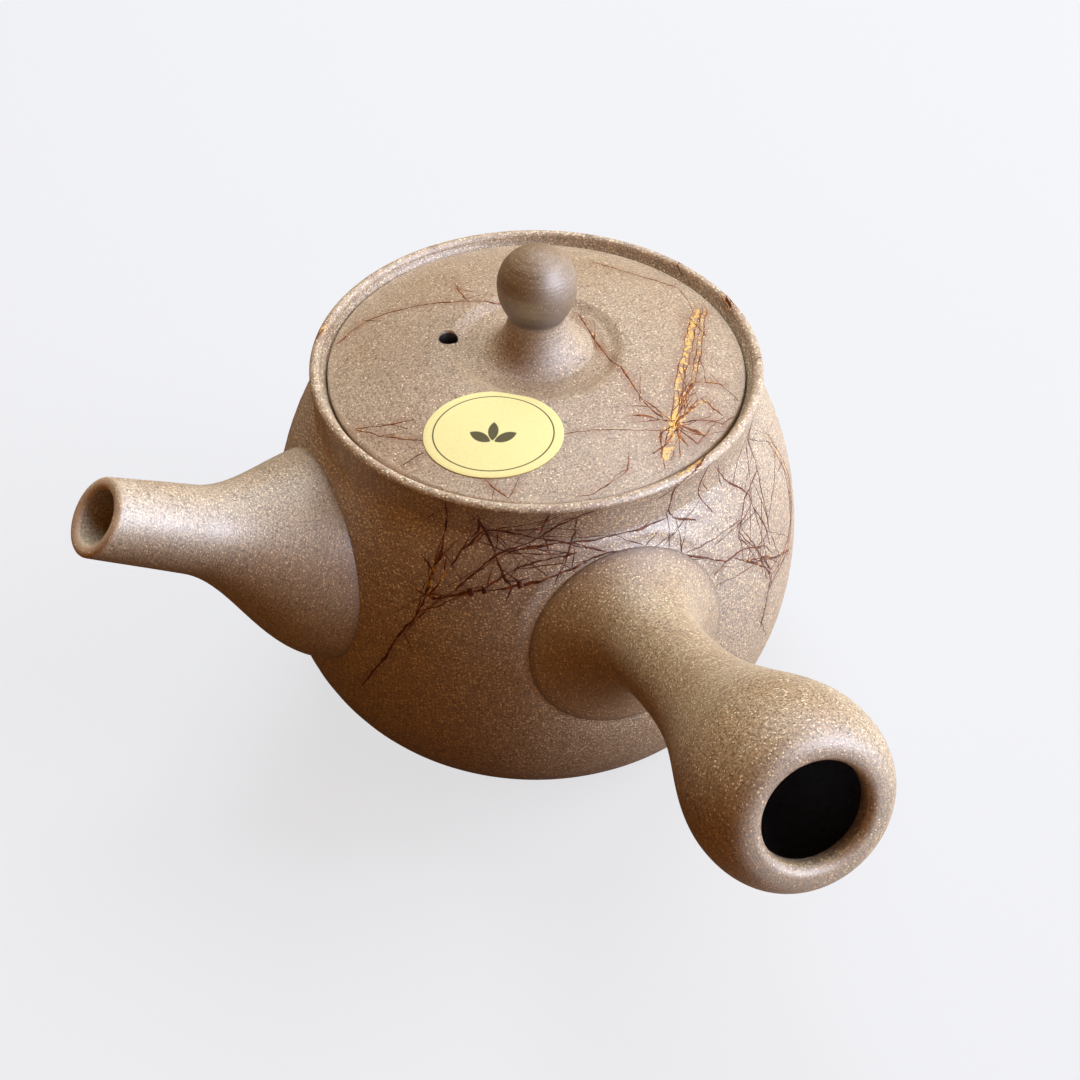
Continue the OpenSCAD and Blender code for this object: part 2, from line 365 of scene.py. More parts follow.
@dataclass(frozen=True)
class Stoneware:
    """Unglazed iron-bearing stoneware, thrown and burnished.

    The eye sees a satin grey-brown skin with rusty clouds, fine turning lines, and a dense dust of
    pale and golden grit that burnishing has drawn out along the turning.
    """

    name: str
    origin: tuple[float, float, float] = (0.0, 0.0, 0.0)
    turned: tuple[float, float, float] = (0.0, 0.0, 0.0)
    clay: str = "#9f8a70"
    rust: str = "#8f7050"
    grit: str = "#f1dab0"
    pale_grit: str = "#fbf0da"
    dark_grit: str = "#4a3425"
    worn: str = "#b79a7c"
    ash_rust: str = "#6e4428"
    ash_gold: str = "#dba63c"
    # Colour of the painted shade in the seams round the feet, the handle's bore, the vent and under the knob's
    # ball
    shade: str = "#120b06"
    burnished: str = "#5d4c39"
    sheen: str = "#f6f8ff"
    roughness: float = 0.42
    ior: float = 2.2
    specular: float = 0.7
    rust_share: float = 0.5
    rust_span: tuple[float, float] = (0.35, 0.68)
    rub_span: tuple[float, float] = (0.12, 0.55)
    bleed_share: float = 0.6
    bleed_span: tuple[float, float] = (0.08, 0.7)
    cloud_mm: float = 24.0
    mottle_mm: float = 3.2
    mottle_shade: float = 0.35
    line_mm: float = 0.55
    line_drift: float = 0.02
    line_shade: float = 0.4
    line_depth_mm: float = 0.05
    ring_mm: float = 2.4
    ring_depth_share: float = 0.8
    grain_mm: float = 0.36
    grain_depth_mm: float = 0.045
    grain_shade: float = 3.0
    least_shade: float = 0.2
    grit_mm: float = 0.52
    fine_grit_mm: float = 0.38
    dark_grit_mm: float = 0.832
    gold_grit_mm: float = 0.494
    grit_from: float = 0.28
    pale_rarer: float = 0.2
    dark_from: float = 0.92
    gold_from: float = 1.0
    grit_span: float = 0.5
    grit_reach: float = 0.36
    grit_soft: float = 0.1
    grit_flat: float = 1.6
    grit_depth_mm: float = 0.03
    speck_share: float = 0.95
    ring_gloss: float = 0.16
    rub_gloss: float = 0.16
    grain_gloss: float = 0.12
    polish_gloss: float = -0.24

    def build(self) -> bpy.types.Material:
        """Builds the clay's nodes.

        Returns:
            The material.
        """
        material, add = new_material(self.name)
        place = add("Mapping", {"Vector": add("TexCoord").outputs["Object"], "Rotation": self.turned,
                                "Location": [c * MM for c in self.origin], "Scale": (MM, MM, MM)},
                    vector_type="TEXTURE")
        split = add("SeparateXYZ", {0: place})
        flat = add("VectorMath", {0: place, 1: (1, 1, 0)}, operation="MULTIPLY")
        radius = add("VectorMath", {0: flat}, operation="LENGTH").outputs["Value"]
        drift = add("Math", {0: split.outputs["X"], 1: self.line_drift}, operation="MULTIPLY")
        turning = add("CombineXYZ", {"X": radius, "Y": split.outputs["Z"], "Z": drift})
        cloud, mottle, line, ring, grain = (
            add("TexNoise", {"Vector": where, "Scale": 1 / size, "Detail": detail, "Roughness": rough})
            for where, size, detail, rough in (
                (place, self.cloud_mm, 4.0, 0.6),
                (place, self.mottle_mm, 3.0, 0.5),
                (turning, self.line_mm, 2.0, 0.5),
                (turning, self.ring_mm, 1.0, 0.5),
                (place, self.grain_mm, 2.0, 0.5),
            )
        )

        rusting = add("MapRange", {"Value": cloud, "From Min": self.rust_span[0], "From Max": self.rust_span[1],
                                   "To Max": self.rust_share}, interpolation_type="SMOOTHSTEP")
        colour = add("Mix", {0: rusting, 6: linear(self.clay), 7: linear(self.rust)}, data_type="RGBA").outputs[2]
        # The middle value of each noise, a half, leaves the colour as it is
        shade = 1 - 0.5 * (self.line_shade + self.mottle_shade + self.grain_shade)
        for noise, depth in ((line, self.line_shade), (mottle, self.mottle_shade), (grain, self.grain_shade)):
            shade = add("Math", {0: noise, 1: depth, 2: shade}, operation="MULTIPLY_ADD")
        shade = add("Math", {0: shade, 1: self.least_shade}, operation="MAXIMUM")
        colour = add("VectorMath", {0: colour, 3: shade}, operation="SCALE").outputs[0]

        masks: dict[str, Node] = {}
        for name, span, share, tone in (
            ("edge", self.rub_span, 1.0, self.worn),
            ("ash", self.bleed_span, self.bleed_share, self.ash_rust),
        ):
            painted = add("Attribute", attribute_name=name).outputs["Fac"]
            patchy = add("Math", {0: mottle, 1: painted}, operation="MULTIPLY")
            masks[name] = add("MapRange", {"Value": patchy, "From Min": span[0], "From Max": span[1],
                                           "To Max": share}, interpolation_type="SMOOTHSTEP")
            colour = add("Mix", {0: masks[name], 6: colour, 7: linear(tone)}, data_type="RGBA").outputs[2]

        # Grit is drawn a little coarser than it is, so that it shows from the camera, and gilded ash adds to it
        gold = add("Attribute", attribute_name="gold").outputs["Fac"]
        specks: list[Node] = []
        for size, start, tone, gilding in (
            (self.grit_mm, self.grit_from, self.grit, 0.0),
            (self.fine_grit_mm, self.grit_from + self.pale_rarer, self.pale_grit, 0.0),
            (self.dark_grit_mm, self.dark_from, self.dark_grit, 0.0),
            (self.gold_grit_mm, self.gold_from, self.ash_gold, 1.0),
        ):
            squeeze = add("VectorMath", {0: place, 1: (1 / size, 1 / size, self.grit_flat / size)},
                          operation="MULTIPLY")
            cell = add("TexVoronoi", {"Vector": squeeze, "Scale": 1.0})
            pick = add("SeparateColor", {0: cell.outputs["Color"]})
            picked = add("Math", {0: gold, 1: gilding, 2: pick}, operation="MULTIPLY_ADD")
            reach = add("MapRange", {"Value": picked, "From Min": start, "From Max": start + self.grit_span,
                                     "To Min": 0.0, "To Max": self.grit_reach}, clamp=False)
            inside = add("Math", {0: reach, 1: cell.outputs["Distance"]}, operation="SUBTRACT")
            specks.append(add("MapRange", {"Value": inside, "From Min": 0.0, "From Max": self.grit_soft,
                                           "To Max": self.speck_share}, interpolation_type="SMOOTHSTEP"))
            colour = add("Mix", {0: specks[-1], 6: colour, 7: linear(tone)}, data_type="RGBA").outputs[2]

        # Mixes in the burnished colour where the knob is polished, then painted shade in the seams, the bores and
        # under the knob's ball
        polish, painted_shade = (add("Attribute", attribute_name=name).outputs["Fac"] for name in ("polish", "painted_shade"))
        for share, tone in ((polish, self.burnished), (painted_shade, self.shade)):
            colour = add("Mix", {0: share, 6: colour, 7: linear(tone)}, data_type="RGBA").outputs[2]

        gloss = self.roughness - 0.5 * self.ring_gloss
        for source, share in ((ring, self.ring_gloss), (masks["edge"], self.rub_gloss), (grain, self.grain_gloss),
                              (polish, self.polish_gloss)):
            gloss = add("Math", {0: source, 1: share, 2: gloss}, operation="MULTIPLY_ADD")
        relief: dict[str, Node] = {}
        for height, depth in (
            (grain, self.grain_depth_mm),
            (line, self.line_depth_mm),
            (ring, self.ring_depth_share * self.line_depth_mm),
            (specks[0], self.grit_depth_mm),
        ):
            relief = {"Normal": add("Bump", {"Height": height, "Distance": depth * MM, **relief})}
        shader = add("BsdfPrincipled", {"Base Color": colour, "Roughness": gloss, "IOR": self.ior,
                                        "Specular IOR Level": self.specular,
                                        "Specular Tint": linear(self.sheen), **relief})
        add("OutputMaterial", {"Surface": shader})
        return material


@dataclass(frozen=True)
class BurntWeed:
    """Melted ash of burnt seaweed, fired on as thin low beads.

    The eye sees satin rust-brown threads that run to gold where the ash lay thick.
    """

    name: str
    dark: str = "#57280f"
    rust: str = "#a3602c"
    gold: str = "#d9a441"
    roughness: float = 0.42
    ior: float = 1.5
    bead_mm: float = 0.9
    bead_depth_mm: float = 0.06
    bead_gold: float = 0.9
    rust_span: tuple[float, float] = (0.42, 0.7)
    gold_span: tuple[float, float] = (0.9, 1.3)

    def build(self) -> bpy.types.Material:
        """Builds the ash's nodes.

        Returns:
            The material.
        """
        material, add = new_material(self.name)
        bead = add("TexNoise", {"Vector": add("TexCoord").outputs["Object"], "Scale": 1 / (self.bead_mm * MM),
                                "Detail": 3.0})
        rusting = add("MapRange", {"Value": bead, "From Min": self.rust_span[0], "From Max": self.rust_span[1]})
        brown = add("Mix", {0: rusting, 6: linear(self.dark), 7: linear(self.rust)}, data_type="RGBA").outputs[2]
        gold = add("Attribute", attribute_name="gold").outputs["Fac"]
        run = add("Math", {0: bead, 1: self.bead_gold, 2: gold}, operation="MULTIPLY_ADD")
        run = add("MapRange", {"Value": run, "From Min": self.gold_span[0], "From Max": self.gold_span[1]},
                  interpolation_type="SMOOTHSTEP")
        colour = add("Mix", {0: run, 6: brown, 7: linear(self.gold)}, data_type="RGBA").outputs[2]
        bump = add("Bump", {"Height": bead, "Distance": self.bead_depth_mm * MM})
        shader = add("BsdfPrincipled", {"Base Color": colour, "Roughness": self.roughness, "IOR": self.ior,
                                        "Normal": bump})
        add("OutputMaterial", {"Surface": shader})
        return material


@dataclass(frozen=True)
class LabelPaper:
    """Thin pale gold label paper, printed in one ink.

    The eye sees a matt sheet with fine fibres, a thin ring near its edge and a plain leaf sprig.
    """

    centre: tuple[float, float]
    tilt: float
    half_l: float
    half_w: float
    name: str = "gold_label_paper"
    paper: str = "#e3d89c"
    shaded: str = "#d6c47f"
    ink: str = "#2f2a18"
    ink_share: float = 0.92
    roughness: float = 0.5
    ior: float = 1.45
    ring_at: float = 0.86
    ring_mm: float = 0.16
    ring_soft: float = 1.6
    leaves: tuple[tuple[float, float], ...] = ((90.0, 4.4), (28.0, 4.6), (152.0, 4.6))
    stem_mm: float = -2.4
    leaf_middle: float = 0.56
    leaf_bow: float = 0.42
    leaf_span: tuple[float, float] = (0.62, 0.645)
    fibre_mm: float = 0.35
    fibre_depth_mm: float = 0.012

    def build(self) -> bpy.types.Material:
        """Builds the paper's and the print's nodes.

        Returns:
            The material.
        """
        material, add = new_material(self.name)
        place = add("Mapping", {"Vector": add("TexCoord").outputs["Object"],
                                "Rotation": (0, 0, math.radians(self.tilt)),
                                "Location": (self.centre[0] * MM, self.centre[1] * MM, 0),
                                "Scale": (MM, MM, MM)}, vector_type="TEXTURE")
        flat = add("VectorMath", {0: place, 1: (1, 1, 0)}, operation="MULTIPLY")
        oval = add("VectorMath", {0: flat, 1: (1 / self.half_l, 1 / self.half_w, 0)}, operation="MULTIPLY")
        out = add("VectorMath", {0: oval}, operation="LENGTH").outputs["Value"]
        off = add("Math", {0: out, 1: self.ring_at}, operation="SUBTRACT")
        off = add("Math", {0: off}, operation="ABSOLUTE")
        half = self.ring_mm / 2 / self.half_w
        ink = add("MapRange", {"Value": off, "From Min": half, "From Max": self.ring_soft * half, "To Min": 1.0,
                               "To Max": 0.0})
        for angle, reach in self.leaves:
            leaf = add("Mapping", {"Vector": flat, "Location": (0, self.stem_mm, 0),
                                   "Rotation": (0, 0, math.radians(angle))}, vector_type="TEXTURE")
            one, other = (
                add("VectorMath", {0: leaf, 1: (reach * self.leaf_middle, bow * reach, 0)},
                    operation="DISTANCE").outputs["Value"]
                for bow in (-self.leaf_bow, self.leaf_bow)
            )
            widest = add("Math", {0: one, 1: other}, operation="MAXIMUM")
            blade = add("MapRange", {"Value": widest, "From Min": reach * self.leaf_span[0],
                                     "From Max": reach * self.leaf_span[1], "To Min": 1.0, "To Max": 0.0})
            ink = add("Math", {0: ink, 1: blade}, operation="MAXIMUM")
        fibre = add("TexNoise", {"Vector": place, "Scale": 1 / self.fibre_mm, "Detail": 3.0})
        sheet = add("Mix", {0: fibre, 6: linear(self.paper), 7: linear(self.shaded)}, data_type="RGBA").outputs[2]
        worn = add("Math", {0: ink, 1: self.ink_share}, operation="MULTIPLY")
        colour = add("Mix", {0: worn, 6: sheet, 7: linear(self.ink)}, data_type="RGBA").outputs[2]
        bump = add("Bump", {"Height": fibre, "Distance": self.fibre_depth_mm * MM})
        shader = add("BsdfPrincipled", {"Base Color": colour, "Roughness": self.roughness, "IOR": self.ior,
                                        "Normal": bump})
        add("OutputMaterial", {"Surface": shader})
        return material


# Pot


@dataclass
class Body:
    """Thrown vessel: flat base, round belly, collar, and a rim with a ledge for the lid."""

    base_r: float = 33.6
    base_run: float = 12.9
    belly_r: float = 53.2
    belly_h: float = 32.6
    belly_under: float = 17.6
    belly_over: float = 12.5
    shoulder_lean: float = 33.8
    shoulder_run: float = 12.7
    wall_t: float = 3.0
    rim_r: float = 43.0
    rim_h: float = 77.2
    collar_r: float = 42.7
    collar_h: float = 7.8
    collar_hollow: float = 0.3
    rim_t: float = 3.0
    lip_r: float = 1.0
    ledge_w: float = 3.5
    ledge_z: float = 72.1
    ledge_t: float = 2.5
    port_r: float = 13.0
    port_turn: float = 180.0
    ring_depth: float = 0.02
    plain_low: float = 10.0
    plain_high: float = 6.0
    ridge_h: float = 0.3
    ridge_out: float = 3.0
    ridge_w: float = 0.8
    dent_out: float = 0.7
    dent_w: float = 0.7
    dent_depth: float = 0.12
    rubbed_h: float = 1.7
    rubbed_share: float = 0.5
    steps: int = 360
    table_points: int = 200
    outer_points: int = 62
    inner_points: int = 18
    piece: Piece = field(init=False)
    table: np.ndarray = field(init=False)

    def __post_init__(self) -> None:
        """Draws the belly once, because the luted pieces need its wall."""
        self.table = self.belly(self.table_points)

    def belly(self, count: int) -> np.ndarray:
        """Draws the outside from the edge of the base to the foot of the collar.

        Args:
            count: Points on each of the two curves.

        Returns:
            Radius and height of each point.
        """
        base = np.array([self.base_r, 0.0])
        wide = np.array([self.belly_r, self.belly_h])
        foot = np.array([self.collar_r, self.rim_h - self.collar_h])
        lean = math.radians(self.shoulder_lean)
        end = foot + self.shoulder_run * np.array([math.sin(lean), -math.cos(lean)])
        lower = bezier(base, base + [self.base_run, 0], wide - [0, self.belly_under], wide, count)
        upper = bezier(wide, wide + [0, self.belly_over], end, foot, count)
        return np.concatenate([lower, upper[1:]])

    def wall(self, z: np.ndarray) -> np.ndarray:
        """Returns the outer radius at each height."""
        return np.interp(z, self.table[:, 1], self.table[:, 0])

    def outline(self) -> Outline:
        """Draws the closed outline.

        Returns:
            Radius and height of each point, from the middle of the base up outside and down inside.
        """
        belly = self.belly(self.outer_points)
        out = outwards(belly)
        run = np.concatenate([[0], np.cumsum(np.linalg.norm(np.diff(belly, axis=0), axis=1))])
        held = ease(run / self.plain_low) * ease((run[-1] - run) / self.plain_high)
        # Uneven rings that the fingers left
        rings = np.sin(run * 2.1 + 1.4 * np.sin(run * 0.37)) + 0.7 * np.sin(run * 3.7 + 2 * np.sin(run * 0.23))
        thrown = belly + out * (self.ring_depth * held * rings)[:, None]
        base = [(self.base_r * k, 0.0) for k in (0.0, 0.3, 0.6, 0.85, 0.95)]

        collar_z = self.rim_h - self.collar_h
        up = np.linspace(0.06, 0.86, 14)
        collar = [
            (self.collar_r + (self.rim_r - self.collar_r) * u
             - self.collar_hollow * math.sin(math.pi * min(1.0, u / 0.86)) ** 0.7, collar_z + self.collar_h * u)
            for u in up
        ]
        lip_z = self.rim_h - self.lip_r
        lip = arc(self.rim_r - self.lip_r, lip_z, self.lip_r, self.lip_r, np.linspace(0, math.pi, 16))
        recess = self.rim_r - self.rim_t
        throat = recess - self.ledge_w
        inside = [
            (recess + 0.8, lip_z - 0.6), (recess + 0.4, lip_z - 1.2), (recess + 0.1, lip_z - 1.7),
            (recess, lip_z - 2.2), (recess, self.ledge_z + 0.6), (recess - 0.1, self.ledge_z + 0.15),
            (recess - 0.5, self.ledge_z), (throat + 0.5, self.ledge_z), (throat + 0.12, self.ledge_z - 0.1),
            (throat, self.ledge_z - 0.5), (throat, self.ledge_z - self.ledge_t + 0.4),
            (throat + 0.3, self.ledge_z - self.ledge_t),
        ]
        coarse = self.belly(self.inner_points)
        chamber = (coarse - outwards(coarse) * self.wall_t)[::-1]
        chamber = chamber[chamber[:, 1] > self.wall_t + 0.2]
        floor = [(self.base_r, self.wall_t), (self.base_r * 0.6, self.wall_t), (0.0, self.wall_t)]
        return base + pairs(thrown) + collar + lip + inside + pairs(chamber) + floor

    def port(self, z: float) -> Piece:
        """Makes the drill for the port behind the spout, square to the wall.

        Args:
            z: Height at which the spout's axis leaves the wall.

        Returns:
            The drill.
        """
        r = float(self.wall(z))
        lean = math.atan2(float(self.wall(z - 1) - self.wall(z + 1)), 2)
        way = Matrix.Rotation(math.radians(self.port_turn), 4, "Z")
        at = way @ Vector((r, 0, z))
        deselect()
        bpy.ops.mesh.primitive_cylinder_add(
            vertices=96, radius=self.port_r * MM, depth=2 * self.port_r * MM, location=at * MM,
            rotation=(way @ Matrix.Rotation(math.pi / 2 - lean, 4, "Y")).to_euler(),
        )
        return bpy.context.object

    def build(self, spout: "Spout", handle: "Handle") -> Piece:
        """Turns the body, drills its port and presses up the ridge over the handle.

        Args:
            spout: Spout that the port leads to.
            handle: Handle whose luting has pushed up a ridge of clay.

        Returns:
            The finished piece.
        """
        self.piece = turn("body_shell", self.outline(), self.steps)
        self.press_ridge(handle)
        cut(self.piece, self.port(spout.leave_z()))
        smooth(self.piece)
        self.mark()
        return self.piece

    def press_ridge(self, handle: "Handle") -> None:
        """Raises the low ridge that luting left on the wall above the handle's foot.

        Args:
            handle: Handle that was luted on.
        """
        points = read(self.piece)
        local = handle.to_local(points)
        rho = off_axis(local)
        phi = np.arctan2(local[:, 1], local[:, 0])
        foot = handle.foot_radius(phi)
        band = np.exp(-(((rho - foot - self.ridge_out) / self.ridge_w) ** 2))
        dent = np.exp(-(((rho - foot - self.dent_out) / self.dent_w) ** 2))
        upper = ease((-np.cos(phi) + 0.1) / 0.7)
        level = off_axis(points)
        outside = (level > self.wall(points[:, 2]) - 1) & (points[:, 2] < self.rim_h - self.collar_h - 1)
        # Along its axis, the handle's side of the pot lies past 20 mm
        outside &= local[:, 2] > 20
        lift = (self.ridge_h * band * upper - self.dent_depth * dent) * outside
        points[:, :2] += points[:, :2] / np.maximum(level, 1)[:, None] * lift[:, None]
        write(self.piece, points)

    def mark(self) -> None:
        """Paints where the rim is rubbed pale."""
        points = read(self.piece)
        level = off_axis(points)
        lip = ease(points[:, 2] - (self.rim_h - self.rubbed_h)) * (level > self.rim_r - self.rim_t)
        paint(self.piece, "edge", self.rubbed_share * lip)


@dataclass
class LutedTube:
    """A hollow turned piece that stands on a rising axis and is luted to the wall."""

    body: Body
    turn_deg: float
    rise_deg: float
    axis_z: float
    length: float
    thick: float
    step: float
    steps: int
    piece: Piece = field(init=False)
    sunk: float = 0.6
    search: float = 14.0
    # Width and share of the painted shade along the seam round the foot
    seam_shade_w: float = 0.25
    seam_shade_share: float = 0.6
    seam_points: int = 181

    def frame(self) -> Matrix:
        """Works out the place of the axis.

        Returns:
            Its frame, whose Z runs along the piece and whose X runs down.
        """
        turned = Matrix.Rotation(math.radians(self.turn_deg), 4, "Z")
        raised = Matrix.Rotation(math.radians(90 - self.rise_deg), 4, "Y")
        return Matrix.Translation((0, 0, self.axis_z)) @ turned @ raised

    def to_pot(self, local: np.ndarray) -> np.ndarray:
        """Moves points from the piece's axis to the pot."""
        frame_now = np.array(self.frame())
        return local @ frame_now[:3, :3].T + frame_now[:3, 3]

    def to_local(self, points: np.ndarray) -> np.ndarray:
        """Moves points from the pot to the piece's axis."""
        frame_now = np.array(self.frame())
        return (points - frame_now[:3, 3]) @ frame_now[:3, :3]

    def leave_t(self) -> float:
        """Finds where the axis leaves the wall.

        Returns:
            The distance along the axis.
        """
        rise, t = math.radians(self.rise_deg), self.body.belly_r
        for _ in range(12):
            t = float(self.body.wall(self.axis_z + t * math.sin(rise))) / math.cos(rise)
        return t

    def leave_z(self) -> float:
        """Returns the height at which the axis leaves the wall."""
        return self.axis_z + self.leave_t() * math.sin(math.radians(self.rise_deg))

    def radius(self, t: np.ndarray) -> np.ndarray:
        """Returns the outer radius at distances along the axis."""
        raise NotImplementedError

    def ring(self, r: np.ndarray, t: np.ndarray, phi: np.ndarray) -> np.ndarray:
        """Returns points at a radius, distance and angle about the axis."""
        return np.stack([r * np.cos(phi), r * np.sin(phi), t + 0 * phi], axis=-1)

    def foot(self, phi: np.ndarray) -> np.ndarray:
        """Finds where the outside stands one step over the wall.

        Args:
            phi: Angles about the axis.

        Returns:
            The distance along the axis at each angle.
        """
        low = np.full(phi.shape, self.leave_t() - self.search)
        high = np.full(phi.shape, self.leave_t() + self.search)
        for _ in range(40):
            middle = (low + high) / 2
            points = self.to_pot(self.ring(self.radius(middle), middle - self.step, phi))
            outside = off_axis(points) > self.body.wall(points[:, 2])
            low, high = np.where(outside, low, middle), np.where(outside, middle, high)
        return (low + high) / 2

    def foot_radius(self, phi: np.ndarray) -> np.ndarray:
        """Returns the radius of the foot's edge at angles about the axis."""
        base = np.linspace(-math.pi, math.pi, self.seam_points)
        return np.interp(phi, base, self.radius(self.foot(base)))

    def foot_rows(self, t: np.ndarray) -> list[Row]:
        """Draws the foot's rounded edge.

        Args:
            t: Distance of the edge at each column.

        Returns:
            Its rows, from inside the wall outwards.
        """
        r = self.radius(t)
        return [
            (r - 0.25, t - self.step - self.sunk),
            (r + 0.05, t - self.step),
            (r + 0.06, t - 0.55 * self.step),
            (r + 0.03, t - 0.2 * self.step),
        ]

    def wall_rows(self, near: np.ndarray, far: float, shares: np.ndarray, inset: float = 0.0) -> list[Row]:
        """Draws rows along the wall.

        Args:
            near: Distance at each column that the rows are measured from.
            far: Distance that they are measured to.
            shares: Share of the way between the two, for each row.
            inset: How far the rows lie in from the outside.

        Returns:
            Radius and distance of each row.
        """
        spots = [near + (far - near) * share for share in shares]
        return [(self.radius(t) - inset, t) for t in spots]

    def seam_shade(self, local: np.ndarray) -> np.ndarray:
        """Finds the painted shade along the seam round the foot.

        Args:
            local: Points in the piece's own frame.

        Returns:
            How much painted shade each point gets, from 0 to 1.
        """
        turns = np.linspace(-math.pi, math.pi, self.seam_points)
        edge = np.interp(np.arctan2(local[:, 1], local[:, 0]), turns, self.foot(turns))
        return self.seam_shade_share * np.exp(-((np.maximum(local[:, 2] - edge, 0) / self.seam_shade_w) ** 2))

    def shape(self, name: str, rows: list[Row]) -> Piece:
        """Turns the piece from rows of radius and distance.

        Args:
            name: Name of the piece.
            rows: Radius and distance of each row, for every column.

        Returns:
            The piece, in the pot's frame.
        """
        phi = angles(self.steps)
        grid = np.stack([self.to_pot(self.ring(r + 0 * phi, t + 0 * phi, phi)) for r, t in rows + rows[:1]])
        self.piece = turn_to_grid(name, grid)
        smooth(self.piece)
        return self.piece


@dataclass
class Spout(LutedTube):
    """Flared spout whose tip is cut on a slant."""

    tip_r: float = 7.3
    neck_r: float = 8.2
    root_r: float = 21.4
    flare_out: float = 23.1
    flare_in: float = 7.9
    tuck: float = 0.037
    cut_deg: float = 11.0
    cut_run: float = 13.0
    lip: float = 0.95
    rubbed_h: float = 0.4
    rubbed_run: float = 0.8
    rubbed_share: float = 0.8
    painted_shade_share: float = 0.5

    def radius(self, t: np.ndarray) -> np.ndarray:
        """Draws the slim tip and the flared root.

        Args:
            t: Distances along the axis.

        Returns:
            Outer radius at each distance.
        """
        leave = self.leave_t()
        tip, slim, wide = leave + self.length, leave + self.flare_out, leave - self.flare_in
        taper = (self.neck_r - self.tip_r) / (tip - slim)
        flare = self.root_r - self.tip_r - taper * (tip - wide)
        straight = self.tip_r + taper * (tip - t)
        return straight + flare * ease((slim - t) / (slim - wide)) - self.tuck * np.maximum(0, wide - t) ** 2

    def build(self) -> Piece:
        """Turns the spout, fits its foot to the wall and slants its tip.

        Returns:
            The finished piece.
        """
        phi = angles(self.steps)
        edge = self.foot(phi)
        root = edge - self.sunk - self.step
        top = self.leave_t() + self.length - self.lip
        rows = self.foot_rows(edge) + self.wall_rows(edge, top, np.linspace(0.004, 1, 66))
        middle = float(self.radius(np.array(top))) - self.thick / 2
        for a in np.linspace(0, math.pi, 14)[1:-1]:
            rows.append((np.full(phi.shape, middle + self.thick / 2 * math.cos(a)),
                         np.full(phi.shape, top + self.lip * math.sin(a) ** 0.8)))
        rows += self.wall_rows(root, top, np.linspace(1, 0, 34), self.thick)
        slant = math.tan(math.radians(self.cut_deg))
        start = top - self.cut_run
        rows = [(r, t + r * np.cos(phi) * slant * ease((t - start) / (top - start))) for r, t in rows]
        piece = self.shape("spout_shell", rows)
        local = self.to_local(read(piece))
        tip = ease((local[:, 2] - local[:, 0] * slant - top + self.rubbed_h) / self.rubbed_run)
        paint(piece, "edge", tip * self.rubbed_share)
        # Painted shade along the seam round the foot
        paint(piece, "painted_shade", self.painted_shade_share * self.seam_shade(local))
        return piece


@dataclass
class Handle(LutedTube):
    """Hollow handle with a flared foot, a slim neck and a swollen open end."""

    foot_r: float = 22.1
    foot_in: float = 6.0
    foot_out: float = 15.9
    flare: float = 2.2
    neck_r: float = 8.1
    bulb_r: float = 15.6
    bulb_in: float = 10.2
    swell: float = 1.6
    square: float = 2.2
    hole_r: float = 8.4
    lip: float = 1.5
    rubbed_h: float = 2.2
    rubbed_run: float = 1.6
    rubbed_w: float = 3.6
    rubbed_fade: float = 2.0
    rubbed_share: float = 0.4
    bore_shade_from: float = 1.2
    bore_shade_in: float = 1.0
    bore_shade_run: float = 3.0

    def radius(self, t: np.ndarray) -> np.ndarray:
        """Draws the foot, the neck and the swelling, up to the widest ring of the end.

        Args:
            t: Distances along the axis.

        Returns:
            Outer radius at each distance.
        """
        leave = self.leave_t()
        foot, fade, bulb = leave - self.foot_in, leave + self.foot_out, leave + self.length - self.bulb_in
        flared = np.clip((fade - t) / (fade - foot), 0, 1) ** self.flare
        swollen = ease(np.clip((t - fade) / (bulb - fade), 0, 1) ** self.swell)
        return self.neck_r + (self.foot_r - self.neck_r) * flared + (self.bulb_r - self.neck_r) * swollen

    def end_radius(self, turns: np.ndarray) -> np.ndarray:
        """Returns the outer radius of the rounded end at angles from its widest ring."""
        flat = self.hole_r + self.lip
        return flat + (self.bulb_r - flat) * np.cos(turns) ** (2 / self.square)

    def build(self) -> Piece:
        """Turns the handle, fits its foot to the wall and rounds its open end.

        Returns:
            The finished piece.
        """
        phi = angles(self.steps)
        edge = self.foot(phi)
        root = edge - self.sunk - self.step
        end = self.leave_t() + self.length
        bulb = end - self.bulb_in
        rows = self.foot_rows(edge) + self.wall_rows(edge, bulb, np.linspace(0.003, 1, 84))
        for a in np.linspace(0, math.pi / 2, 22)[1:]:
            rows.append((self.end_radius(a), bulb + self.bulb_in * math.sin(a) ** (2 / self.square)))
        rows += arc(self.hole_r + self.lip, end - self.lip, self.lip, self.lip,
                    np.linspace(math.pi / 2, math.pi, 9)[1:])
        rows.append((self.hole_r, end - self.thick + 0.4))
        rows += arc(self.hole_r, bulb, self.bulb_r - self.thick - self.hole_r, self.bulb_in - self.thick,
                    np.linspace(math.pi / 2, 0, 8))
        rows += self.wall_rows(root, bulb, np.linspace(1, 0, 30)[1:], self.thick)
        piece = self.shape("handle_shell", rows)
        local = self.to_local(read(piece))
        rho = off_axis(local)
        lip = ease((local[:, 2] - end + self.rubbed_h) / self.rubbed_run)
        lip *= ease((self.hole_r + self.rubbed_w - rho) / self.rubbed_fade)
        paint(piece, "edge", self.rubbed_share * lip)
        cap = np.arcsin(np.clip((local[:, 2] - bulb) / self.bulb_in, 0, 1) ** (self.square / 2))
        outside = np.where(local[:, 2] > bulb, self.end_radius(cap), self.radius(local[:, 2]))
        # Painted shade inside the open end's bore and along the seam round the foot
        bore_shade = (rho < outside - self.bore_shade_from) * ease((end - self.bore_shade_in - local[:, 2]) / self.bore_shade_run)
        paint(piece, "painted_shade", np.maximum(self.seam_shade(local), bore_shade))
        return piece


# Lid


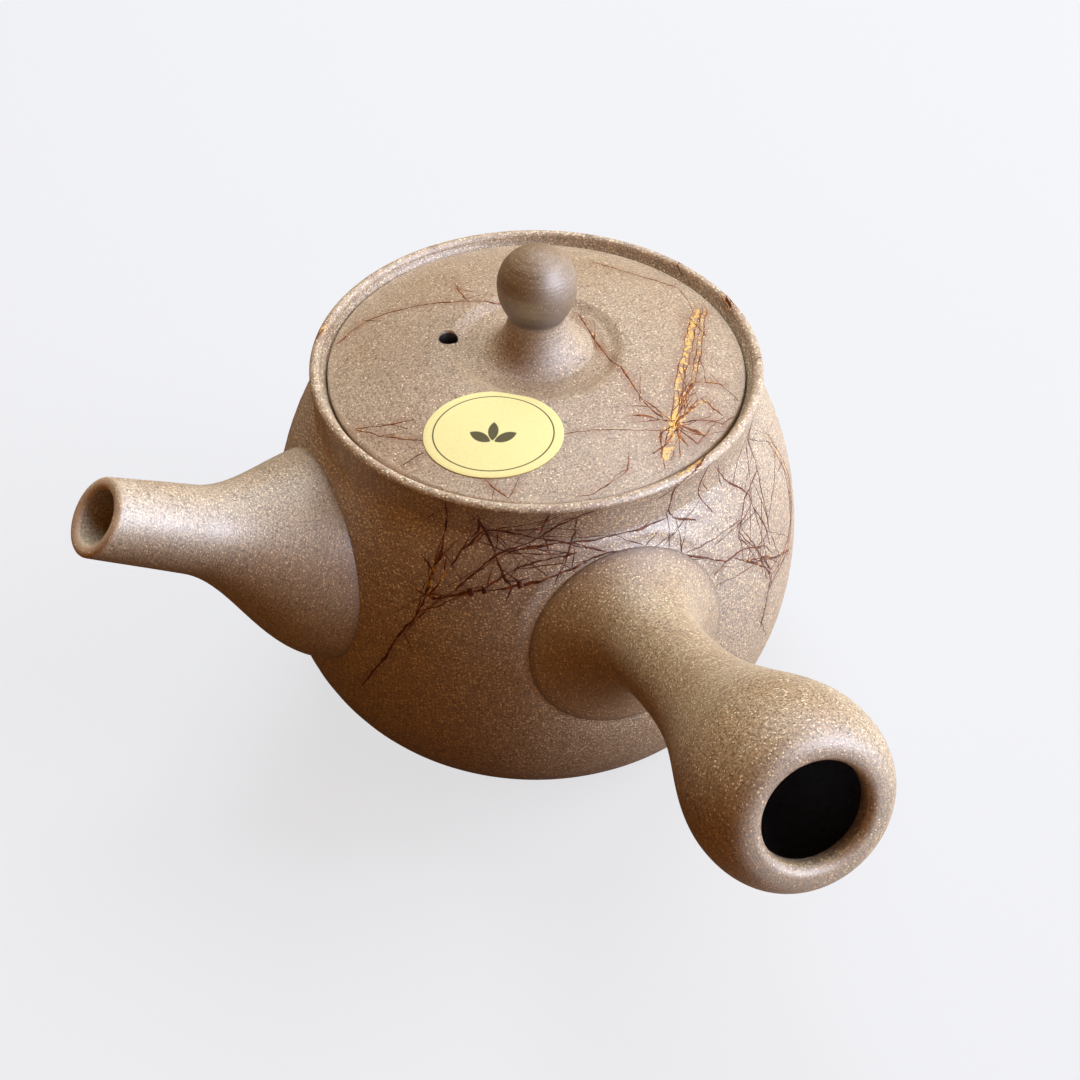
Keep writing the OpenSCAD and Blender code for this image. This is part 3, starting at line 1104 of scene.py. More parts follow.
@dataclass
class Lid:
    """Domed inset lid with a shallow dish, a vent and a flange under it."""

    edge_r: float = 39.7
    edge_z: float = 75.4
    edge_t: float = 3.0
    edge_round: float = 0.7
    thick: float = 3.0
    crown: float = 4.7
    dome: float = 1.5
    dish_r: float = 16.8
    dish_depth: float = 1.0
    dish_edge: float = 3.0
    flange_r: float = 36.1
    flange_t: float = 2.2
    flange_h: float = 8.5
    vent_r: float = 1.8
    vent_turn: float = 147.0
    ring_depth: float = 0.012
    brink_w: float = 0.7
    brink_share: float = 0.4
    rubbed_share: float = 0.55
    steps: int = 288
    piece: Piece = field(init=False)

    def top(self, r: np.ndarray) -> np.ndarray:
        """Draws the dome and the dish of the lid's top.

        Args:
            r: Distances from the lid's axis.

        Returns:
            Height at each distance.
        """
        crown_z = self.edge_z + self.crown
        domed = crown_z - self.crown * np.maximum((r - self.dish_r) / (self.edge_r - self.dish_r), 0) ** self.dome
        dished = crown_z - self.dish_depth * (1 - ease((r - self.dish_r + self.dish_edge) / self.dish_edge))
        return np.where(r > self.dish_r, domed, dished)

    def outline(self) -> Outline:
        """Draws the closed outline.

        Returns:
            Radius and height of each point, from the middle of the underside out, up and back over the top.
        """
        seat_z = self.edge_z - self.edge_t
        inner = self.flange_r - self.flange_t
        under = np.concatenate([np.linspace(0, self.dish_r - self.dish_edge, 5),
                                np.linspace(self.dish_r - self.dish_edge, inner - 0.8, 22)[1:]])
        below = list(zip(under, self.top(under) - self.thick))
        low = seat_z - self.flange_h
        half = self.flange_t / 2
        foot = arc(inner + half, low + half, half, half, np.linspace(-math.pi, 0, 9))
        edge = self.edge_r - self.edge_round
        flange = [(inner, float(self.top(np.array(inner))) - self.thick - 0.8)] + foot + [
            (self.flange_r, seat_z - 0.5), (self.flange_r + 0.5, seat_z), (self.edge_r - 0.4, seat_z),
            (self.edge_r, seat_z + 0.4),
        ]
        drop = float(self.top(np.array(edge)))
        side = [(self.edge_r, drop - self.edge_round - 0.3)]
        side += arc(edge, drop - self.edge_round, self.edge_round, self.edge_round,
                    np.linspace(0, math.pi / 2 * 0.86, 6))
        over = np.concatenate([np.linspace(edge - 0.15, self.dish_r + 0.4, 58),
                               np.linspace(self.dish_r + 0.2, self.dish_r - self.dish_edge - 0.2, 20),
                               np.linspace(self.dish_r - self.dish_edge - 0.6, 0, 16)])
        # Uneven rings that the fingers left, which fade out to the middle
        rings = np.sin(over * 2.6 + np.sin(over * 0.6)) + 0.6 * np.sin(over * 4.3)
        thrown = self.top(over) + self.ring_depth * rings * ease(over / 4)
        return pairs(np.array(below)) + flange + side + list(zip(over, thrown))

    def vent_at(self) -> np.ndarray:
        """Returns the place of the vent, seen from above."""
        at = math.radians(self.vent_turn)
        return np.array([self.dish_r * math.cos(at), self.dish_r * math.sin(at), 0.0])

    def vent(self) -> Piece:
        """Makes the drill for the vent, whose mouth is softened.

        Returns:
            The drill.
        """
        z = float(self.top(np.array(self.dish_r)))
        r = self.vent_r
        outline = [(0, z - 9), (r, z - 9), (r, z - 0.55), (r + 0.12, z - 0.25), (r + 0.4, z), (r + 1.4, z + 0.5),
                   (r + 1.4, z + 2), (0, z + 2)]
        tool = turn("vent_drill", outline, 48)
        write(tool, read(tool) + self.vent_at())
        return tool

    def build(self) -> Piece:
        """Turns the lid and drills its vent.

        Returns:
            The finished piece.
        """
        self.piece = turn("lid_shell", self.outline(), self.steps)
        cut(self.piece, self.vent())
        smooth(self.piece)
        points = read(self.piece)
        level = off_axis(points)
        brink = np.exp(-(((level - self.dish_r + 0.2) / self.brink_w) ** 2)) * (points[:, 2] > self.edge_z)
        rubbed = ease((level - self.edge_r + 0.9) / 0.8)
        paint(self.piece, "edge", np.maximum(self.brink_share * brink, self.rubbed_share * rubbed))
        # Painted shade inside the vent
        paint(self.piece, "painted_shade", off_axis(points - self.vent_at()) < self.vent_r + 0.05)
        return self.piece


@dataclass
class Knob:
    """Ball knob on a short flared neck."""

    lid: Lid
    ball_r: float = 7.4
    high: float = 21.9
    drop: float = 9.2
    neck_r: float = 5.35
    foot_r: float = 11.8
    sunk: float = 0.3
    ring_depth: float = 0.012
    polish_share: float = 0.6
    painted_shade_share: float = 0.72
    steps: int = 144
    piece: Piece = field(init=False)

    def build(self) -> Piece:
        """Turns the knob from its foot to the top of its ball.

        Returns:
            The finished piece.
        """
        floor = self.lid.edge_z + self.lid.crown - self.lid.dish_depth
        ball_z = floor + self.high - self.ball_r
        meet = -math.acos((self.neck_r + 0.1) / self.ball_r)
        join = ball_z + self.drop * math.sin(meet)
        low = floor - 0.4 * self.sunk
        outline: Outline = [(0.0, floor - self.sunk), (self.foot_r, floor - self.sunk)]
        for a in np.linspace(math.pi / 2, 0.1, 26):
            outline.append((self.neck_r + (self.foot_r - self.neck_r) * (1 - math.cos(a)),
                            low + (join - low) * (1 - math.sin(a))))
        for a in np.linspace(meet, math.pi / 2, 46):
            swell = self.ring_depth * math.sin(a * 17)
            tall = self.drop if a < 0 else self.ball_r
            outline.append(((self.ball_r + swell) * math.cos(a), ball_z + tall * math.sin(a)))
        outline[-1] = (0.0, ball_z + self.ball_r)
        self.piece = turn("knob_turned", outline, self.steps)
        smooth(self.piece)
        high = read(self.piece)[:, 2]
        ball = ease((high - join + 1.2) / 1.6)
        paint(self.piece, "polish", self.polish_share * ball)
        # Painted shade on the underside of the ball
        paint(self.piece, "painted_shade", self.painted_shade_share * ball * ease((ball_z + 1 - high) / self.drop))
        return self.piece


@dataclass
class Label:
    """Oval paper label that follows the lid's dome."""

    lid: Lid
    half_l: float = 12.6
    half_w: float = 9.8
    thick: float = 0.2
    gap: float = 0.03
    at: float = 25.85
    turn_deg: float = -134.5
    tilt_deg: float = -31.0
    steps: int = 120
    under_rows: int = 14
    over_rows: int = 18
    piece: Piece = field(init=False)

    def centre(self) -> tuple[float, float]:
        """Returns the middle of the label, seen from above."""
        a = math.radians(self.turn_deg)
        return self.at * math.cos(a), self.at * math.sin(a)

    def build(self) -> Piece:
        """Lays the label on the dome, with a rounded cut edge.

        Returns:
            The finished piece.
        """
        phi = angles(self.steps)
        tilt = math.radians(self.tilt_deg)
        x0, y0 = self.centre()
        shares = np.concatenate([np.linspace(0, 1, self.under_rows), [1.002, 1.0],
                                 np.linspace(0.994, 0, self.over_rows)])
        lifts = np.concatenate([np.full(self.under_rows, 0.004), [0.5 * self.thick, 0.9 * self.thick],
                                np.full(self.over_rows, self.thick)])
        rows = []
        for share, lift in zip(shares, lifts):
            u, v = self.half_l * share * np.cos(phi), self.half_w * share * np.sin(phi)
            x = x0 + u * math.cos(tilt) - v * math.sin(tilt)
            y = y0 + u * math.sin(tilt) + v * math.cos(tilt)
            rows.append(np.stack([x, y, self.lid.top(np.hypot(x, y)) + self.gap + lift], axis=1))
        self.piece = turn_to_grid("label_paper", np.stack(rows))
        smooth(self.piece)
        return self.piece


# Ash threads


@dataclass(frozen=True)
class Strand:
    """One thread that a strip of seaweed left in the kiln."""

    ground: Ground
    points: tuple[tuple[float, float], ...]
    half_w: float
    gold: float
    shoots: int


def strands(ground: Ground, *rows: tuple) -> tuple[Strand, ...]:
    """Returns strands on one surface, each from its points, half width, gold and shoots."""
    return tuple(Strand(ground, *row) for row in rows)


LID_STRANDS = strands(
    Ground.LID,
    (((13, -29.5), (15.5, -26), (19.5, -20), (25, -13.5), (31.5, -5), (35, -1)), 0.5, 0.62, 5),
    (((12, -30.2), (13, -29.5), (14.2, -28.4)), 1.0, 0.9, 0),
    (((13, -29.5), (16, -32.2), (17, -34)), 0.42, 0.3, 1),
    (((13, -29.5), (10, -30.5), (8.6, -31.6)), 0.44, 0.4, 1),
    (((13, -29.5), (12.4, -32.4), (12.8, -34.6)), 0.4, 0.3, 1),
    (((13, -29.5), (17.4, -27.2), (20.4, -25.2)), 0.34, 0.4, 2),
    (((16, -26), (22.5, -20), (28, -13), (34, -4.5), (37, -0.5)), 0.3, 0.5, 4),
    (((16, -26), (21.5, -21.5), (25, -22), (27.5, -23)), 0.3, 0.4, 3),
    (((14.5, -28.5), (18.5, -27), (21.5, -26), (22, -28.5)), 0.36, 0.45, 3),
    (((14.5, -29.5), (18, -30), (22, -31.5)), 0.32, 0.1, 3),
    (((13, -30), (10, -33), (7, -36)), 0.7, 0.65, 3),
    (((13, -31), (14, -33), (15, -34.5), (18.5, -32.5)), 0.3, 0.05, 3),
    (((12, -28.5), (9, -26.5), (6.5, -25.5)), 0.34, 0.35, 4),
    (((11.5, -27.5), (10, -22.5), (10.5, -16.5), (10.5, -9.5), (11, -2), (12, 5.5)), 0.27, 0.12, 5),
    (((2, -32), (-1, -36), (-8, -37.5), (-11, -37)), 0.16, 0.0, 1),
    (((-38.5, -3), (-35, -5), (-29, -8)), 0.18, 0.05, 1),
    (((-38.5, -3), (-34.5, -8.5), (-29.5, -13.5)), 0.2, 0.05, 1),
    (((-7, -24.5), (-3, -25.5), (0, -26.5)), 0.18, 0.0, 0),
    (((-24, -26), (-23, -29), (-22, -32)), 0.22, 0.15, 1),
    (((-18, -29), (-20, -30.5), (-22, -32)), 0.2, 0.0, 0),
    (((-32, 22), (-26, 24.5), (-20.5, 24.5), (-16, 23), (-11, 21), (-6, 18), (1, 14.5)), 0.2, 0.08, 3),
    (((-5, 26), (-5.5, 22), (-6, 18)), 0.2, 0.05, 1),
    (((-35, -16), (-30.5, -15.5)), 0.16, 0.0, 0),
    (((24, 22), (30, 14), (36, 8)), 0.2, 0.2, 2),
)
POT_STRANDS = strands(
    Ground.WALL,
    (((-131.9, 60.1), (-130.4, 60.3)), 2.2, 0.0, 0),
    (((-128.8, 60.8), (-127.5, 61)), 2.0, 0.0, 0),
    (((-121.1, 62.3), (-119.8, 62.5)), 1.9, 0.0, 0),
    (((-141, 58), (-140, 62.5), (-139, 66), (-139, 68.5)), 0.44, 0.44, 4),
    (((-140, 58), (-138, 61.5), (-137.5, 65)), 0.3, 0.42, 3),
    (((-145, 58.5), (-143, 58), (-140.5, 57.5)), 0.3, 0.4, 3),
    (((-141, 57.5), (-142, 54), (-145.5, 49), (-149.5, 40.5), (-156, 29.5)), 0.24, 0.0, 2),
    (((-142, 57), (-143, 52), (-145, 48)), 0.2, 0.0, 1),
    (((-140.5, 57.5), (-138.5, 57.5), (-132.5, 60), (-127.5, 61), (-120, 62.5), (-115.5, 63.5), (-111, 64.5),
     (-107, 65.5)), 0.34, 0.0, 5),
    (((-136, 64), (-134, 67.5), (-131, 70.5), (-131, 74.5)), 0.24, 0.0, 2),
    (((-131, 74.5), (-129, 70.5), (-126, 66.5), (-123.5, 63), (-122.5, 62), (-123.5, 59.5)), 0.34, 0.0, 3),
    (((-134, 67), (-129, 71), (-123, 71), (-115.5, 70), (-107, 68.5), (-101, 67)), 0.26, 0.0, 4),
    (((-134.5, 60), (-130.5, 64), (-126, 67), (-117, 70), (-111, 73.5), (-103, 76)), 0.24, 0.0, 3),
    (((-128, 61.5), (-123, 64.5), (-118, 66), (-112.5, 67), (-108, 67.5)), 0.22, 0.0, 3),
    (((-126, 66.5), (-121.5, 68), (-114.5, 69), (-107.5, 69), (-96.5, 69), (-89, 69), (-84.5, 69)), 0.22, 0.0,
     4),
    (((-116.5, 71), (-114, 76)), 0.26, 0.0, 1),
    (((-138.5, 76), (-139, 69)), 0.26, 0.0, 2),
    (((-107.5, 65.5), (-105, 66), (-98.5, 66.5), (-91, 65.5), (-83.5, 62.5), (-76, 59), (-71.5, 56.5)), 0.22,
     0.05, 3),
    (((-105.5, 65), (-99, 65), (-92, 64.5), (-84.5, 61.5), (-80.5, 58.5), (-76, 53)), 0.22, 0.1, 2),
    (((-76, 55.5), (-71.5, 56.5), (-66, 56), (-58.5, 52.5)), 0.24, 0.15, 3),
    (((-66.5, 54), (-61, 49.5), (-56.5, 44.5)), 0.3, 0.3, 3),
    (((-62, 55), (-59.5, 50), (-56.5, 45.5)), 0.26, 0.25, 2),
    (((-43.5, 41), (-53.5, 46.5), (-60.5, 51), (-65.5, 53.5)), 0.3, 0.35, 3),
    (((-56.5, 44.5), (-58.5, 42), (-60.5, 37), (-61.5, 34)), 0.32, 0.3, 2),
    (((-54, 43.5), (-46.5, 44), (-40, 47), (-36.5, 50.5), (-36, 54.5), (-38, 60), (-40, 66)), 0.5, 0.55, 5),
    (((-68, 73.5), (-63, 68), (-59, 64), (-58.5, 61), (-56.5, 56.5), (-56, 51)), 0.22, 0.0, 3),
    (((-51.5, 65), (-56, 64.5), (-59.5, 64), (-63.5, 61.5), (-66.5, 58.5)), 0.22, 0.0, 3),
    (((-48, 74), (-50, 68), (-53, 62), (-55, 54)), 0.2, 0.0, 2),
    (((-82, 76.5), (-83, 72.5), (-83, 69), (-77, 66.5)), 0.26, 0.05, 2),
    (((-72, 76), (-74, 71), (-72, 66)), 0.2, 0.0, 1),
) + strands(
    Ground.RIM,
    (((-80, 42.3), (-77, 42), (-74, 42.3)), 0.7, 0.6, 2),
    (((-4, 41.4), (-1.5, 41.7), (1, 42.2)), 0.6, 0.5, 1),
    (((140.5, 41.6), (142, 42), (144, 41.8)), 0.5, 0.5, 1),
    (((93.5, 41.2), (94, 42.8)), 0.2, 0.0, 0),
    (((115, 41.2), (114.5, 42.8)), 0.2, 0.0, 0),
    (((19, 41.2), (20, 42.8)), 0.2, 0.0, 0),
    (((-29, 41.2), (-27, 42.8)), 0.22, 0.1, 0),
) + strands(
    Ground.WALL,
    (((-18, 70), (-12, 62), (-2, 55), (6, 52), (15, 54)), 0.24, 0.1, 4),
    (((-10, 46), (-2, 55), (2, 63), (4, 74)), 0.24, 0.15, 4),
    (((52, 66), (60, 58), (72, 53), (86, 56), (97, 63)), 0.24, 0.05, 5),
    (((68, 74), (70, 64), (72, 53), (68, 42), (60, 30)), 0.26, 0.2, 4),
    (((120, 70), (130, 63), (139, 59), (148, 61)), 0.22, 0.05, 3),
    (((139, 74), (138, 66), (139, 59), (143, 47)), 0.22, 0.1, 3),
)


@dataclass
class AshThreads:
    """Branching threads of melted ash, laid over the finished clay."""

    name: str
    carriers: list[Piece]
    strands: tuple[Strand, ...]
    seed: int
    fibres: int
    fullness: float
    spacing: float = 0.4
    relief: float = 0.05
    sunk: float = 0.06
    thick: float = 0.12
    sway: float = 0.2
    taper: float = 1.6
    bead_sway: float = 0.6
    fullest: float = 1.4
    gold_sway: float = 0.35
    twin_gold: float = 0.45
    twin_below_w: float = 0.9
    twin_out: float = 1.5
    twin_half_w: float = 0.15
    twin_gold_share: float = 0.3
    twin_sway: float = 0.25
    shoot_bend: tuple[float, float] = (0.2, 1.0)
    shoot_reach: tuple[float, float] = (3.0, 10.0)
    shoot_back: float = 0.4
    shoot_share: tuple[float, float] = (0.35, 0.6)
    shoot_gold_share: float = 0.5
    least_half_w: float = 0.1
    fibre_reach: tuple[float, float] = (5.0, 16.0)
    fibre_half_w: tuple[float, float] = (0.08, 0.14)
    stain_reach: float = 4.0
    bleed_out: float = 1.2
    bleed_spread: float = 3.2
    bleed_full: float = 4.0
    gilt_out: float = 0.4
    gilt_spread: float = 1.3
    gilt_share: float = 2.2
    piece: Piece = field(init=False)
    trees: list[BVHTree] = field(init=False)
    dice: random.Random = field(init=False)
    laid: list[tuple[np.ndarray, float, float]] = field(init=False, default_factory=list)

    def __post_init__(self) -> None:
        """Prepares the carriers' surfaces and the random draws."""
        graph = bpy.context.evaluated_depsgraph_get()
        self.trees = [BVHTree.FromObject(piece, graph) for piece in self.carriers]
        self.dice = random.Random(self.seed)

    def drop(self, strand: Strand) -> list[Vector]:
        """Drops a strand on the clay.

        Args:
            strand: The strand.

        Returns:
            Its points there, in metres.
        """
        down = Vector((0, 0, -1))
        found = []
        for a, b in strand.points:
            if strand.ground is Ground.LID:
                start, way = Vector((a * MM, b * MM, ABOVE)), down
            else:
                side = Vector((math.cos(math.radians(a)), math.sin(math.radians(a)), 0))
                if strand.ground is Ground.RIM:
                    start, way = side * b * MM + Vector((0, 0, ABOVE)), down
                else:
                    start, way = side * BEYOND + Vector((0, 0, b * MM)), -side
            spot = self.trees[0].ray_cast(start, way)[0]
            if spot is not None:
                found.append(spot)
        return found

    def nearest(self, point: Vector) -> tuple[Vector, Vector]:
        """Finds the nearest point of the clay.

        Args:
            point: A place, in metres.

        Returns:
            The point, and the clay's outward direction there.
        """
        hits = [tree.find_nearest(point) for tree in self.trees]
        hit = min((h for h in hits if h[0] is not None), key=lambda h: h[3])
        return hit[0], hit[1]

    def wander(self, count: int, reach: float) -> np.ndarray:
        """Draws a smooth random walk.

        Args:
            count: Number of values.
            reach: Largest size of a value, about.

        Returns:
            The values.
        """
        run = np.arange(count) * self.spacing
        total = np.zeros(count)
        for length, share in WAVES:
            wave = length * self.dice.uniform(*WAVE_SPREAD)
            total += share * np.sin(run * 2 * math.pi / wave + self.dice.uniform(*WAVE_STARTS))
        return total * reach

    def trace(self, controls: list[Vector]) -> Trace:
        """Draws a wandering line on the clay.

        Args:
            controls: Points that the line passes near.

        Returns:
            Its points, in metres, and the clay's outward directions there.
        """
        line = []
        ends = [controls[0] * 2 - controls[1]] + controls + [controls[-1] * 2 - controls[-2]]
        for p0, p1, p2, p3 in zip(ends, ends[1:], ends[2:], ends[3:]):
            count = max(2, int((p2 - p1).length / MM / self.spacing))
            for i in range(count):
                u = i / count
                line.append(0.5 * (2 * p1 + (p2 - p0) * u + (2 * p0 - 5 * p1 + 4 * p2 - p3) * u * u
                                   + (3 * p1 - p0 - 3 * p2 + p3) * u**3))
        line.append(controls[-1])
        sway, heave = self.wander(len(line), self.sway), self.wander(len(line), self.sway)
        moved = []
        for i, point in enumerate(line):
            way = (line[min(i + 1, len(line) - 1)] - line[max(i - 1, 0)]).normalized()
            side = way.orthogonal().normalized()
            moved.append(point + side * sway[i] * MM + way.cross(side) * heave[i] * MM)
        return self.settle(moved)

    def settle(self, places: list[Vector]) -> Trace:
        """Returns the points of the clay that are nearest to places, and its directions there."""
        spots = [self.nearest(place) for place in places]
        return np.array([spot for spot, _ in spots]), np.array([normal for _, normal in spots])

    def beside(self, points: np.ndarray, normals: np.ndarray, shift: float) -> Trace:
        """Draws a line that runs beside another one on the clay.

        Args:
            points: Places along the first line, in metres.
            normals: Outward direction of the clay at each place.
            shift: Distance to the side, in millimetres.

        Returns:
            Its points, in metres, and the clay's outward directions there.
        """
        side = unit(np.cross(normals, np.gradient(points, axis=0)))
        sway = shift * (1 + self.wander(len(points), self.twin_sway))
        return self.settle([Vector(p) for p in points + side * sway[:, None] * MM])

    def draw(self, points: np.ndarray, normals: np.ndarray, half_w: float, gold: float) -> Piece:
        """Draws one thread as a low bead from a grid.

        Args:
            points: Places along the thread, in metres.
            normals: Outward direction of the clay at each place.
            half_w: Half the thread's width, in millimetres.
            gold: Share of gold in its colour.

        Returns:
            The thread.
        """
        count = len(points)
        side = unit(np.cross(normals, unit(np.gradient(points, axis=0))))
        ends = np.minimum(np.arange(count), np.arange(count)[::-1]) * self.spacing
        beads = np.clip(self.fullness + self.wander(count, self.bead_sway), 0.5 * self.fullness, self.fullest)
        width = half_w * beads * (0.5 + 0.5 * ease(ends / self.taper))
        across = ((-1.0, -self.sunk), (-0.6, 0.7 * self.relief), (0.0, self.relief), (0.6, 0.7 * self.relief),
                  (1.0, -self.sunk))
        rows = [points + side * (width * k)[:, None] * MM + normals * h * MM for k, h in across]
        deselect()
        bpy.ops.mesh.primitive_grid_add(x_subdivisions=count - 1, y_subdivisions=len(across) - 1, size=1)
        thread = bpy.context.object
        blank = read(thread) * MM
        i = np.rint((blank[:, 0] + 0.5) * (count - 1)).astype(int)
        j = np.rint((blank[:, 1] + 0.5) * (len(across) - 1)).astype(int)
        write(thread, np.stack(rows)[j, i] / MM)
        paint(thread, "gold", np.clip(gold + self.wander(count, self.gold_sway) * (gold > 0), 0, 1)[i])
        return thread

    def shoot(self, strand: Strand, points: np.ndarray, normals: np.ndarray) -> Piece:
        """Draws a side shoot at a random place of a strand.

        Args:
            strand: The strand.
            points: Places along the strand, in metres.
            normals: Outward direction of the clay at each place.

        Returns:
            The shoot.
        """
        at = self.dice.randrange(len(points))
        way = Vector(points[min(at + 2, len(points) - 1)] - points[max(at - 2, 0)]).normalized()
        hand = self.dice.choice((-1, 1))
        bend = Matrix.Rotation(hand * self.dice.uniform(*self.shoot_bend), 3, Vector(normals[at]))
        reach = self.dice.uniform(*self.shoot_reach) * MM
        back = self.dice.uniform(0, self.shoot_back)
        start = Vector(points[at])
        tail = self.nearest(start - bend @ way * reach * back)[0]
        tip = self.nearest(start + bend @ way * reach * (1 - back))[0]
        line = self.trace([tail, start, tip])
        half_w = max(self.least_half_w, strand.half_w * self.dice.uniform(*self.shoot_share))
        return self.draw(*line, half_w, self.shoot_gold_share * strand.gold)

    def lay(self, strand: Strand) -> list[Piece]:
        """Draws a strand, as two fine threads where it is gilded, and its side shoots.

        Args:
            strand: The strand.

        Returns:
            Its threads, or none where it misses the clay.
        """
        controls = self.drop(strand)
        if len(controls) < 2:
            return []
        points, normals = self.trace(controls)
        self.laid.append((points, strand.half_w, strand.gold))
        threads = []
        if strand.gold > self.twin_gold and strand.half_w < self.twin_below_w:
            for side in (-self.twin_out, self.twin_out):
                twin = self.beside(points, normals, side * strand.half_w)
                threads.append(self.draw(*twin, self.twin_half_w, self.twin_gold_share * strand.gold))
        else:
            threads.append(self.draw(points, normals, strand.half_w, strand.gold))
        return threads + [self.shoot(strand, points, normals) for _ in range((strand.shoots + 1) // 2)]

    def spin(self) -> list[Piece]:
        """Draws the fine fibres that run from strand to strand.

        Returns:
            The fibres.
        """
        threads = []
        least, most = self.fibre_reach
        marks = [Vector(point) for points, _, _ in self.laid for point in points]
        for _ in range(self.fibres):
            start = self.dice.choice(marks)
            near = [mark for mark in marks if least < (mark - start).length / MM < most]
            if near:
                end = self.dice.choice(near)
                fibre = self.trace([start, self.nearest((start + end) / 2)[0], end])
                threads.append(self.draw(*fibre, self.dice.uniform(*self.fibre_half_w), 0.0))
        return threads

    def build(self) -> Piece:
        """Lays every strand and fibre, and joins them.

        Returns:
            The finished piece.
        """
        threads = [thread for strand in self.strands for thread in self.lay(strand)]
        threads += self.spin()
        deselect()
        for thread in threads:
            thread.select_set(True)
        bpy.context.view_layer.objects.active = threads[0]
        bpy.ops.object.join()
        self.piece = bpy.context.object
        self.piece.name = self.piece.data.name = self.name
        shell = self.piece.modifiers.new("thickness", "SOLIDIFY")
        shell.thickness = self.thick * MM
        shell.offset = -1
        apply_modifiers(self.piece)
        only(self.piece)
        bpy.ops.object.shade_smooth()
        return self.piece

    def stain(self) -> None:
        """Paints the carriers where the ash has bled into the clay."""
        tree = KDTree(sum(len(points) for points, _, _ in self.laid))
        facts = []
        for points, half_w, gold in self.laid:
            for point in points:
                tree.insert(Vector(point), len(facts))
                facts.append((half_w, gold))
        tree.balance()
        for piece in self.carriers:
            ash = np.zeros(len(piece.data.vertices))
            gilt = np.zeros(len(piece.data.vertices))
            for vertex in piece.data.vertices:
                for _, index, far in tree.find_range(vertex.co, self.stain_reach * MM):
                    half_w, gold = facts[index]
                    bled = math.exp(-((far / MM / (self.bleed_out + self.bleed_spread * half_w)) ** 2))
                    bled *= min(1.0, self.bleed_full * half_w)
                    gilded = math.exp(-((far / MM / (self.gilt_out + self.gilt_spread * half_w)) ** 2))
                    gilded *= self.gilt_share * gold
                    ash[vertex.index] = max(ash[vertex.index], bled)
                    gilt[vertex.index] = max(gilt[vertex.index], gilded)
            paint(piece, "ash", ash)
            paint(piece, "gold", gilt)


# Studio


@dataclass(frozen=True)
class Lamp:
    """Soft rectangular lamp that points at the pot, its distance and size in metres."""

    name: str
    aim: tuple[float, float, float]
    power: float
    colour: str
    size: tuple[float, float] = (0.8, 0.8)
    shine: Shine = Shine.FULL
    far: float = 1.1
    middle: float = 0.04

    def build(self) -> None:
        """Adds the lamp."""
        way = Vector(self.aim).normalized()
        deselect()
        bpy.ops.object.light_add(type="AREA", location=way * self.far + Vector((0, 0, self.middle)),
                                 rotation=way.to_track_quat("Z", "Y").to_euler())
        lamp = bpy.context.object
        lamp.name = self.name
        lamp.data.shape = "RECTANGLE"
        lamp.data.size, lamp.data.size_y = self.size
        lamp.data.energy = self.power
        lamp.data.color = linear(self.colour)[:3]
        lamp.visible_glossy = self.shine is not Shine.MATT
        lamp.visible_diffuse = self.shine is not Shine.SHEEN


WINDOW = (0.80, -0.41, 0.438)
LAMPS = (
    Lamp("window", WINDOW, 20.5, "#eaf3ff", (0.95, 0.95), Shine.MATT),
    Lamp("window_sheen", WINDOW, 14.0, "#eaf3ff", (0.95, 0.95), Shine.SHEEN),
    Lamp("pane", (0.47, -0.75, 0.47), 9.5, "#e6f0ff", (0.7, 0.8), Shine.SHEEN),
    Lamp("skylight", (0.574, -0.05, 0.819), 2.2, "#eaf2ff"),
    Lamp("ceiling", (0.235, 0.441, 0.866), 18.0, "#dff1ff", shine=Shine.MATT),
)


